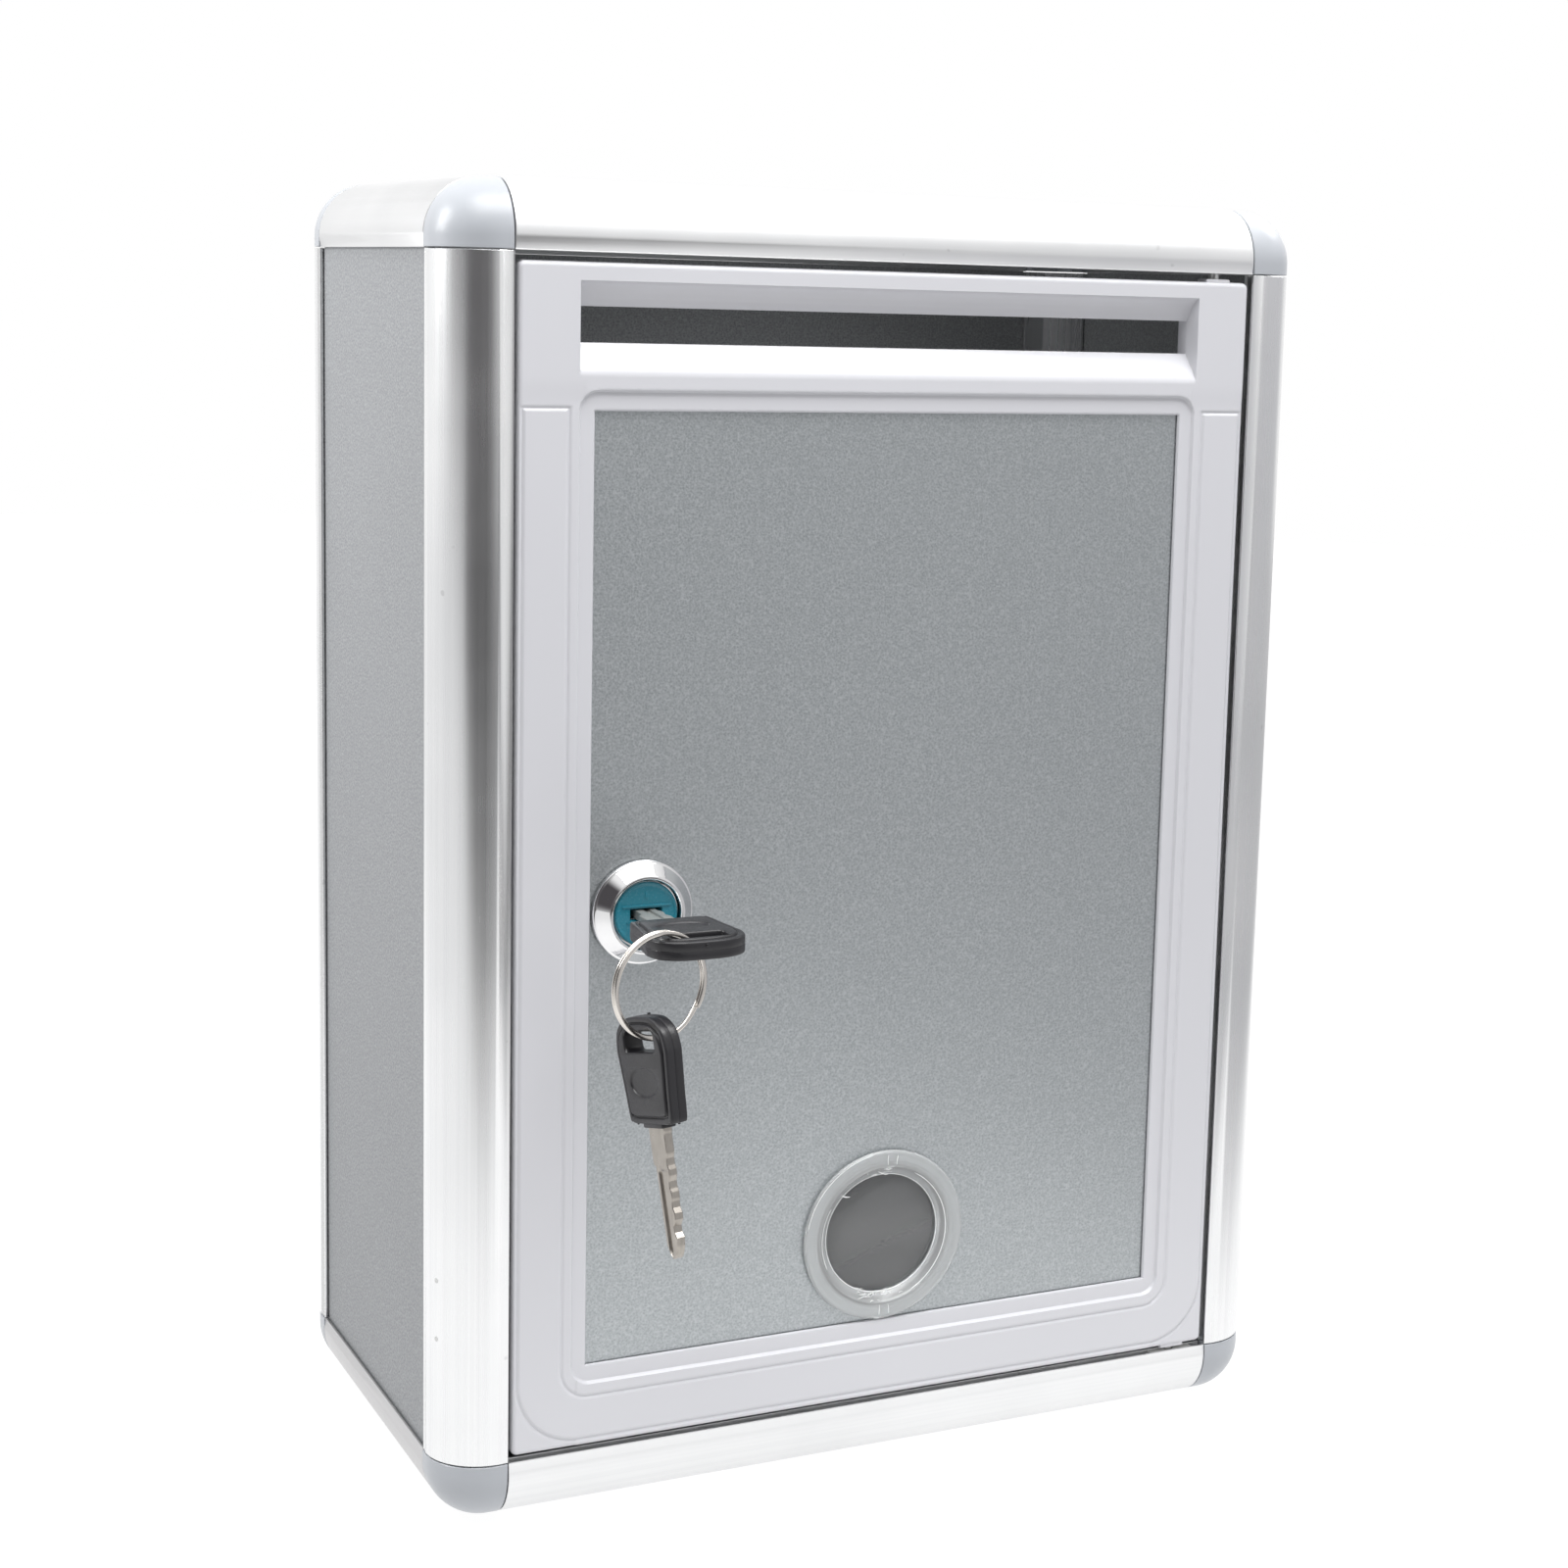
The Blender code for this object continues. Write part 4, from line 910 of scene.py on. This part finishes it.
# ================================================================= keys
BOW_LEN, BOW_W, BOW_T, RIM_T = 23.0, 21.8, 4.8, 4.1
HOLE_W, HOLE_H, HOLE_AT = 13.0, 4.4, 5.4
DIMPLE_W, DIMPLE_H, DIMPLE_AT = 12.0, 6.4, 8.9
BLADE_LEN, BLADE_W, TANG = 28.8, 6.8, 8.0


def catmull(points, n):
    """A smooth curve through the points."""
    out = []
    for i in range(len(points) - 1):
        p0 = points[max(i - 1, 0)]
        p1, p2 = points[i], points[i + 1]
        p3 = points[min(i + 2, len(points) - 1)]
        for k in range(n):
            t = k / n
            out.append(tuple(0.5 * (2 * b + (c - a) * t + (2 * a - 5 * b + 4 * c - d) * t * t
                                    + (3 * b - a - 3 * c + d) * t ** 3)
                             for a, b, c, d in zip(p0, p1, p2, p3)))
    out.append(points[-1])
    return out


def bow_contour():
    w, L = BOW_W / 2, BOW_LEN
    half = catmull([(0.76 * w, 0.0), (0.84 * w, 0.05 * L), (0.90 * w, 0.30 * L),
                    (0.98 * w, 0.58 * L), (1.0 * w, 0.72 * L), (0.88 * w, 0.88 * L),
                    (0.52 * w, 0.98 * L), (0.0, L)], 8)
    half = [(0.0, 0.0), (0.30 * w, 0.0), (0.58 * w, 0.0), (0.70 * w, 0.12), (0.765 * w, 0.45)] \
        + half[5:]
    pts = half + [(-x, y) for x, y in reversed(half[1:-1])]
    return pts


def bow_ring(inset):
    cy = BOW_LEN * 0.52
    sx = (BOW_W / 2 - inset) / (BOW_W / 2)
    sy = (BOW_LEN / 2 - inset) / (BOW_LEN / 2)
    return [(x * sx, cy + (y - cy) * sy) for x, y in bow_contour()]


def flat_fill(bm, *loops):
    """Fill between coplanar loops given as (vert, u, v) lists."""
    flat = [q[0] for l in loops for q in l]
    for t in tessellate_polygon([[Vector((q[1], q[2], 0)) for q in l] for l in loops]):
        bm.faces.new([flat[i] for i in t])


def key_bow(name, put, node, body):
    bm = bmesh.new()
    n_slot = rounded([(-HOLE_W / 2, -HOLE_H / 2), (HOLE_W / 2, -HOLE_H / 2),
                      (HOLE_W / 2, HOLE_H / 2), (-HOLE_W / 2, HOLE_H / 2)], 1.25, 6)
    at = BOW_LEN - HOLE_AT

    def loop(pts, h):
        return [(bm.verts.new(put(x, y, h)), x, y) for x, y in pts]

    def band(a, b):
        m = len(a)
        for i in range(m):
            j = (i + 1) % m
            bm.faces.new([a[i][0], a[j][0], b[j][0], b[i][0]])

    layers = [(0.16, 0.0), (1.55, 0.02), (1.85, 0.10), (1.99, 0.26), (2.04, 0.50), (2.05, 1.05),
              (1.98, 1.20), (1.76, 1.32), (1.70, 1.48), (1.76, 1.62), (2.16, 1.76),
              (2.33, 1.92), (2.38, 2.15)]
    slot = [(2.38, 0.42), (2.30, 0.20), (2.12, 0.06), (1.85, 0.0)]
    oval = [(2.38, 0.10), (2.33, -0.02), (2.16, -0.16), (2.06, -0.34), (2.03, -0.75)]
    middle = loop(bow_ring(0.09), 0.0)
    ways = {}
    for s in (1, -1):
        rings = [middle] + [loop(bow_ring(i), s * h) for h, i in layers]
        for a, b in zip(rings, rings[1:]):
            band(a, b)
        way = [loop([(x * (1 + 2 * g / HOLE_W), at + y * (1 + 2 * g / HOLE_H))
                     for x, y in n_slot], s * h) for h, g in slot]
        for a, b in zip(way, way[1:]):
            band(a, b)
        ways[s] = way[-1]
        dish = [loop([((DIMPLE_W / 2 + g) * math.cos(2 * math.pi * k / 48),
                       DIMPLE_AT + (DIMPLE_H / 2 + g) * math.sin(2 * math.pi * k / 48))
                      for k in range(48)], s * h) for h, g in oval]
        for a, b in zip(dish, dish[1:]):
            band(a, b)
        flat_fill(bm, dish[-1])
        flat_fill(bm, rings[-1], way[0], dish[0])
    band(ways[1], ways[-1])
    make(name, bm, M["black"], body, [node], sharp=40)
    # the short neck the blade comes out of, and two nibs of flash
    bm = bmesh.new()

    def block(u0, u1, v0, v1, w0, w1, c):
        part = bmesh.new()
        soft_block(part, u0, u1, v0, v1, w0, w1, c)
        me = bpy.data.meshes.new("part")
        for v in part.verts:
            v.co = Vector(put(*v.co))
        part.to_mesh(me)
        part.free()
        bm.from_mesh(me)
        bpy.data.meshes.remove(me)

    block(-4.1, 4.1, -0.85, 0.6, -1.75, 1.75, 0.3)
    block(-0.35, 0.25, BOW_LEN - 0.4, BOW_LEN + 0.35, 0.9, 1.5, 0.12)
    block(5.9, 6.4, -0.35, 0.3, 1.1, 1.6, 0.12)
    block(-7.2, -6.8, -0.25, 0.3, -1.5, -1.1, 0.1)
    make(name + "_neck", bm, M["black"], body, (), sharp=40)


def key_blade(name, put, node, body):
    w, L = BLADE_W / 2, BLADE_LEN
    high = [(TANG, w), (-1.4, w), (-2.3, w - 0.3), (-6.1, w - 0.3), (-7.3, w - 0.8),
            (-8.7, w - 0.8), (-9.7, w - 0.45), (-10.9, w - 0.5), (-12.2, w - 1.1),
            (-13.6, w - 1.1), (-14.5, w - 0.75), (-15.7, w - 0.75), (-16.6, w - 1.1),
            (-17.8, w - 1.1), (-18.9, w - 0.6), (-20.3, w - 0.6), (-21.7, w - 1.8),
            (-23.1, w - 1.8), (-24.2, w - 1.1), (-L + 2.6, w - 1.5), (-L + 1.1, w - 2.3),
            (-L + 0.35, w - 3.0), (-L, w - 3.7)]
    low = [(TANG, -w), (-8.5, -w), (-8.9, -w + 0.25), (-9.2, -w + 0.9), (-L + 3.0, -w + 0.9),
           (-L + 1.2, -w + 1.7), (-L + 0.35, -w + 2.5), (-L, -w + 3.1)]
    hx, hy = zip(*reversed(high))
    lx, ly = zip(*reversed(low))
    stations = sorted({round(v, 3) for v in
                       [p[0] for p in high + low]
                       + [-1.0, -9.6, -9.9, -10.3] + [-0.6 * k for k in range(47)]}, reverse=True)
    bm = bmesh.new()
    loops = []
    for v in stations:
        u1, u0 = float(np.interp(v, hx, hy)), float(np.interp(v, lx, ly))
        g = 0.46 * float(smooth(np.array((-9.4 - v) / 1.6))) * float(
            smooth(np.array((v + L - 0.6) / 1.2)))
        k = 0.42 * float(smooth(np.array((-0.9 - v) / 1.2))) * float(
            smooth(np.array((v + L - 0.6) / 1.2)))
        e = 0.14
        mid = 0.5 * (u0 + u1)
        a0, a1 = max(min(-1.5, mid - 0.1), u0 + 0.4), max(min(-0.1, u1 - 0.8), u0 + 0.8)
        b0, b1 = max(min(-0.6, mid), u0 + 0.4), max(min(0.7, u1 - 0.5), u0 + 0.8)
        sec = [(u0 + e, -1), (a0 - 0.14, -1), (a0 + 0.06, -1 + g), (a1 - 0.06, -1 + g),
               (a1 + 0.14, -1), (u1 - e, -1), (u1, -1 + e), (u1, 1 - e), (u1 - e, 1),
               (b1 + 0.14, 1), (b1 - 0.06, 1 - k), (b0 + 0.06, 1 - k), (b0 - 0.14, 1),
               (u0 + e, 1), (u0, 1 - e), (u0, -1 + e)]
        sec = [(min(max(u, u0), u1), t) for u, t in sec]
        loops.append([bm.verts.new(put(u, v, t)) for u, t in sec])
    n = len(loops[0])
    for a, b in zip(loops, loops[1:]):
        for i in range(n):
            j = (i + 1) % n
            bm.faces.new([a[i], a[j], b[j], b[i]])
    bm.faces.new(loops[0])
    bm.faces.new(loops[-1])
    make(name, bm, M["satin"] if body == "key" else M["nickel"], body, [node],
         sharp=24)


KEY_Y = -73.2
key_put = lambda u, v, w: (LOCK.x + u, KEY_Y - v, LOCK.z + w)
RING_R, WIRE_R = 11.3, 0.8
RING_AT, RING_YAW = Vector((-70.6, -92.8, 132.15)), 0.24
SPARE_LEAN, SPARE_YAW, SPARE_TILT, SPARE_AT = 13.7, 0.15, 0.044, -2.43
UP = Vector((0, 0, 1))
ring_e1 = Vector((math.cos(RING_YAW), math.sin(RING_YAW), 0))
ring_e3 = Vector((-math.sin(RING_YAW), math.cos(RING_YAW), 0))
hang = RING_AT + ring_e1 * SPARE_AT - UP * math.sqrt(RING_R ** 2 - SPARE_AT ** 2)
lean = math.radians(SPARE_LEAN)
flat_e = Vector((math.cos(SPARE_YAW), math.sin(SPARE_YAW), 0))
deep_e = Vector((-math.sin(SPARE_YAW), math.cos(SPARE_YAW), 0))
spare_n = flat_e * math.cos(SPARE_TILT) + UP * math.sin(SPARE_TILT)
rise = UP * math.cos(SPARE_TILT) - flat_e * math.sin(SPARE_TILT)
spare_u = -deep_e * math.cos(lean) + rise * math.sin(lean)
spare_v = deep_e * math.sin(lean) + rise * math.cos(lean)
spare_0 = hang - spare_u * 1.0 - spare_v * 0.5 - spare_v * (BOW_LEN - HOLE_AT)
spare_put = lambda u, v, w: tuple(spare_0 + spare_u * u + spare_v * v + spare_n * w)
for prefix, put, body in (("key", key_put, "key"), ("spare_key", spare_put, "spare_key")):
    key_bow(prefix + "_grip", put, prefix + "_bow", body)
    key_blade(prefix + "_shank", put, prefix + "_blade", body)

# split ring: two turns of flattened wire side by side, crossing over once
bm = bmesh.new()
loops = []
START = math.radians(-52)
STEPS = 300
for i in range(STEPS + 1):
    t = 0.34 + (4 * math.pi - 0.68) * i / STEPS
    cross = float(smooth(np.array((t - 2 * math.pi + 0.36) / 0.72)))
    side = -0.385 + 0.77 * cross
    a = START + t
    out = ring_e1 * math.cos(a) + UP * math.sin(a)
    end = min(1.0, (min(i, STEPS - i) + 1.2) / 6)
    hr, ha = 0.60 * (0.55 + 0.45 * end), 0.355
    ring = []
    for j in range(12):
        b = 2 * math.pi * j / 12
        cb, sb = math.cos(b), math.sin(b)
        # a rounded rectangle section
        k = 1 / max(abs(cb) ** 3 + abs(sb) ** 3, 1e-9) ** (1 / 3)
        ring.append(bm.verts.new(RING_AT + out * (RING_R + hr * k * cb)
                                 + ring_e3 * (side + ha * k * sb)))
    loops.append(ring)
skin_loops(bm, loops, caps=False)
bm.faces.new(loops[0])
bm.faces.new(list(reversed(loops[-1])))
make("split_ring_coil", bm, M["ringwire"], "ring", ["split_ring"], sharp=50)

# ================================================================= hinge pins, back sheet


def upright(bm, profile, cx, cy, n=40):
    """Turned about a vertical axis; profile is (radius, z)."""
    rings = []
    for r, z in profile:
        if r < 1e-9:
            rings.append([bm.verts.new((cx, cy, z))])
        else:
            rings.append([bm.verts.new((cx + r * math.cos(2 * math.pi * i / n),
                                        cy + r * math.sin(2 * math.pi * i / n), z))
                          for i in range(n)])
    for a, b in zip(rings, rings[1:]):
        for i in range(n):
            j = (i + 1) % n
            if len(a) == 1:
                bm.faces.new([a[0], b[i], b[j]])
            elif len(b) == 1:
                bm.faces.new([a[i], b[0], a[j]])
            else:
                bm.faces.new([a[i], b[i], b[j], a[j]])


for level, za, zb in (("bottom", DOOR_Z0 - 6.4, DOOR_Z0 + 4.6),
                      ("top", DOOR_Z1 - 4.6, DOOR_Z1 + 6.4)):
    bm = bmesh.new()
    upright(bm, [(0, za), (0.85, za), (1.28, za + 0.45), (1.28, zb - 0.45), (0.85, zb), (0, zb)],
            HINGE.x, HINGE.y)
    make("pin_" + level, bm, M["zinc"], "door", ["hinge_pin_" + level], sharp=30)

c0, c1, c2 = X0 + 10.0, 10.0, HEIGHT - 10.0
nk = 5.8
outline = [(c0 + nk, c1), (-c0 - nk, c1), (-c0 - nk, c1 + nk), (-c0, c1 + nk), (-c0, c2 - nk),
           (-c0 - nk, c2 - nk), (-c0 - nk, c2), (c0 + nk, c2), (c0 + nk, c2 - nk),
           (c0, c2 - nk), (c0, c1 + nk), (c0 + nk, c1 + nk)]
bm = bmesh.new()
ya, yb = Y1 - 1.3, Y1 - 2.8
holes = [(x, z) for x in (-62.0, 62.0) for z in (48.0, 252.0)]
faces = []
for y, r in ((ya, 2.62), (ya - 0.12, 2.5), (yb + 0.12, 2.5), (yb, 2.62)):
    faces.append(([bm.verts.new((u, y, v)) for u, v in outline],
                  [[bm.verts.new((hx + r * math.cos(2 * math.pi * k / 40), y,
                                  hz + r * math.sin(2 * math.pi * k / 40))) for k in range(40)]
                   for hx, hz in holes]))
for a, b in zip(faces, faces[1:]):
    for la, lb in [(a[0], b[0])] + list(zip(a[1], b[1])):
        for i in range(len(la)):
            j = (i + 1) % len(la)
            bm.faces.new([la[i], la[j], lb[j], lb[i]])
fill2(bm, faces[0][0], *faces[0][1])
fill2(bm, faces[-1][0], *faces[-1][1])
make("back_sheet", bm, M["side"], "box", ["back_panel"], sharp=30)


def wear(node, mat):
    o = NODES[node]
    o.data.materials.clear()
    o.data.materials.append(mat)


for node in ("side_panel_left", "side_panel_right", "top_panel", "bottom_panel"):
    wear(node, M["side"])
wear("door_panel", M["front"])
for node in ("hinge_block_bottom", "hinge_block_top"):
    wear(node, M["nylon"])

# ================================================================= stage
FLOOR_R = 2.6
floor_mesh = bpy.data.meshes.new("floor")
bm = bmesh.new()
bmesh.ops.create_circle(bm, cap_ends=True, segments=96, radius=FLOOR_R)
bm.to_mesh(floor_mesh)
bm.free()
floor = bpy.data.objects.new("floor", floor_mesh)
bpy.context.scene.collection.objects.link(floor)
floor.location.z = -0.0004
fm, n, b = material("floor_white", rough=0.8)
sep = n.new("ShaderNodeSeparateXYZ")
v = n.new("ShaderNodeTexCoord")
n.link(v.outputs["Object"], sep.inputs[0])


def across(kx, ky, a, c):
    """1 on the near side of a line over the floor, 0 past it."""
    s = n.math("ADD", n.math("MULTIPLY", sep.outputs[0], kx), n.math("MULTIPLY", sep.outputs[1], ky))
    return n.map_range(s, a, c, 1.0, 0.0)


tone = n.noise(n.coords(), 3.0, 2.0, 0.5)
white = n.mix(tone, (0.10, 0.10, 0.10), (0.11, 0.11, 0.11))
# the floor glows (emission) in place of lamplight, so it shows no contact shadow; the glow is painted
# greyer to the right, left and front, and a painted dark patch in front on the left stands for a dark
# room
right = across(0.787, -0.657, 0.196, 0.38)
left = across(-0.99, 0.144, 0.20, 0.60)
front = across(-0.46, -0.887, 0.25, 0.75)
painted_room_shade = n.math("SUBTRACT", 1.0, n.math("MULTIPLY",
                                      n.math("SUBTRACT", 1.0, across(-0.90, -0.436, 0.20, 0.42)),
                                      n.math("SUBTRACT", 1.0, across(0.42, -0.907, 0.16, 0.40))))
white = n.mix(right, (0.06, 0.06, 0.062), white)
lit = n.mix(front, (0.63, 0.63, 0.635), (1.0, 1.0, 1.0))
lit = n.mix(right, (0.45, 0.45, 0.46), lit)
lit = n.mix(left, (0.82, 0.82, 0.825), lit)
n.link(n.mix(painted_room_shade, (0.05, 0.05, 0.05), white), b.inputs["Base Color"])
# painted light and shade: the floor's glow colour, near black over the painted room patch
n.link(n.mix(painted_room_shade, (0.02, 0.02, 0.02), lit), b.inputs["Emission Color"])
b.inputs["Emission Strength"].default_value = 0.93
floor.data.materials.append(fm)


def aim(ob, at):
    d = Vector(at) - ob.location
    ob.rotation_mode = "QUATERNION"
    ob.rotation_quaternion = d.to_track_quat("-Z", "Y")


def softbox(name, loc, at, size, power, colour=(1, 1, 1)):
    light = bpy.data.lights.new(name, "AREA")
    light.shape = "RECTANGLE"
    light.size, light.size_y = size
    light.energy = power
    light.color = colour
    ob = bpy.data.objects.new(name, light)
    bpy.context.scene.collection.objects.link(ob)
    ob.location = loc
    aim(ob, at)
    return ob


softbox("box_left", (-0.42, 0.07, 0.42), (-0.105, 0.0, 0.25), (0.16, 0.20), 1.05)
softbox("box_top", (0.05, -0.35, 1.0), (0, 0, 0.28), (1.0, 0.7), 1.7)
softbox("box_near", (0.0, -0.31, 0.90), (0, -0.05, 0.24), (0.80, 0.42), 6.4)
softbox("box_right", (0.42, 0.06, 0.58), (0.105, -0.04, 0.285), (0.20, 0.20), 0.8)
softbox("inside_fill", (0.0, 0.02, 0.20), (0, 0.05, 0.28), (0.12, 0.05), 0.030)

world = bpy.data.worlds.new("studio")
world.use_nodes = True
bpy.context.scene.world = world
wn = Nodes(world.node_tree)
bg = world.node_tree.nodes["Background"]
tc = wn.new("ShaderNodeTexCoord")
heading = tc.outputs["Generated"]


def towards(direction, a, b):
    """0 to 1 as the view line turns to a direction, cosines a to b."""
    d = wn.new("ShaderNodeVectorMath", operation="DOT_PRODUCT")
    d.inputs[1].default_value = Vector(direction).normalized()
    wn.link(heading, d.inputs[0])
    m = wn.new("ShaderNodeMapRange", interpolation_type="SMOOTHSTEP")
    for k, v in enumerate((a, b, 0.0, 1.0)):
        m.inputs[k + 1].default_value = v
    wn.link(d.outputs["Value"], m.inputs[0])
    return m.outputs[0]


# white behind and to the left, grey to the right, the dark room in front
tone = wn.mix(towards((-1, 0.1, 0), 0.30, 0.85), (1.0, 1.0, 1.0), (0.86, 0.86, 0.865))
tone = wn.mix(towards((0, -1, 0), -0.15, 0.75), tone, (0.57, 0.57, 0.58))
tone = wn.mix(towards((0.95, -0.20, 0), 0.45, 0.85), tone, (0.60, 0.60, 0.62))
band = wn.math("MULTIPLY", towards((0, 0, 1), 0.0, 0.04), towards((0.10, -0.995, 0), 0.84, 0.94))
tone = wn.mix(band, tone, (0.95, 0.95, 0.95))
tone = wn.mix(towards((0, 0, 1), 0.25, 0.45), tone, (0.80, 0.80, 0.80))
tone = wn.mix(towards((-0.80, -0.05, 0.60), 0.72, 0.90), tone, (0.25, 0.25, 0.255))
tone = wn.mix(towards((-0.43, -0.902, -0.04), 0.78, 0.97), tone, (0.11, 0.105, 0.11))
tone = wn.mix(towards((-0.82, -0.37, 0.42), 0.84, 0.96), tone, (0.08, 0.075, 0.08))
tone = wn.mix(towards((0, 0, 1), 0.62, 0.82), tone, (1.0, 1.0, 1.0))
tone = wn.mix(towards((0.1, 0.99, 0), 0.25, 0.60), tone, (1.0, 1.0, 1.0))
wn.link(tone, bg.inputs["Color"])
bg.inputs["Strength"].default_value = 1.0

# ================================================================= camera
F, CX, CY = 2816.257, 960.0, 731.657
YAW, PITCH, ROLL = 0.4729006, -0.1534535, 0.0297797
EYE = Vector((-277.3576, -623.2789, 278.8367)) * MM
fwd = Vector((math.sin(YAW) * math.cos(PITCH), math.cos(YAW) * math.cos(PITCH), math.sin(PITCH)))
right = Vector((math.cos(YAW), -math.sin(YAW), 0))
up = right.cross(fwd)
r2 = math.cos(ROLL) * right + math.sin(ROLL) * up
u2 = -math.sin(ROLL) * right + math.cos(ROLL) * up
cam = bpy.data.cameras.new("photo_camera")
cam.sensor_width = 36.0
cam.sensor_fit = "HORIZONTAL"
cam.lens = F / 1600 * 36
cam.shift_x = (800 - CX) / 1600
cam.shift_y = (CY - 800) / 1600
cam.clip_start, cam.clip_end = 0.02, 20
camera = bpy.data.objects.new("photo_camera", cam)
bpy.context.scene.collection.objects.link(camera)
camera.matrix_world = Matrix.Translation(EYE) @ Matrix((r2, u2, -fwd)).transposed().to_4x4()
bpy.context.scene.camera = camera

vs = bpy.context.scene.view_settings
vs.view_transform = "Standard"
vs.look = "None"
vs.exposure = 0.0
vs.gamma = 1.0
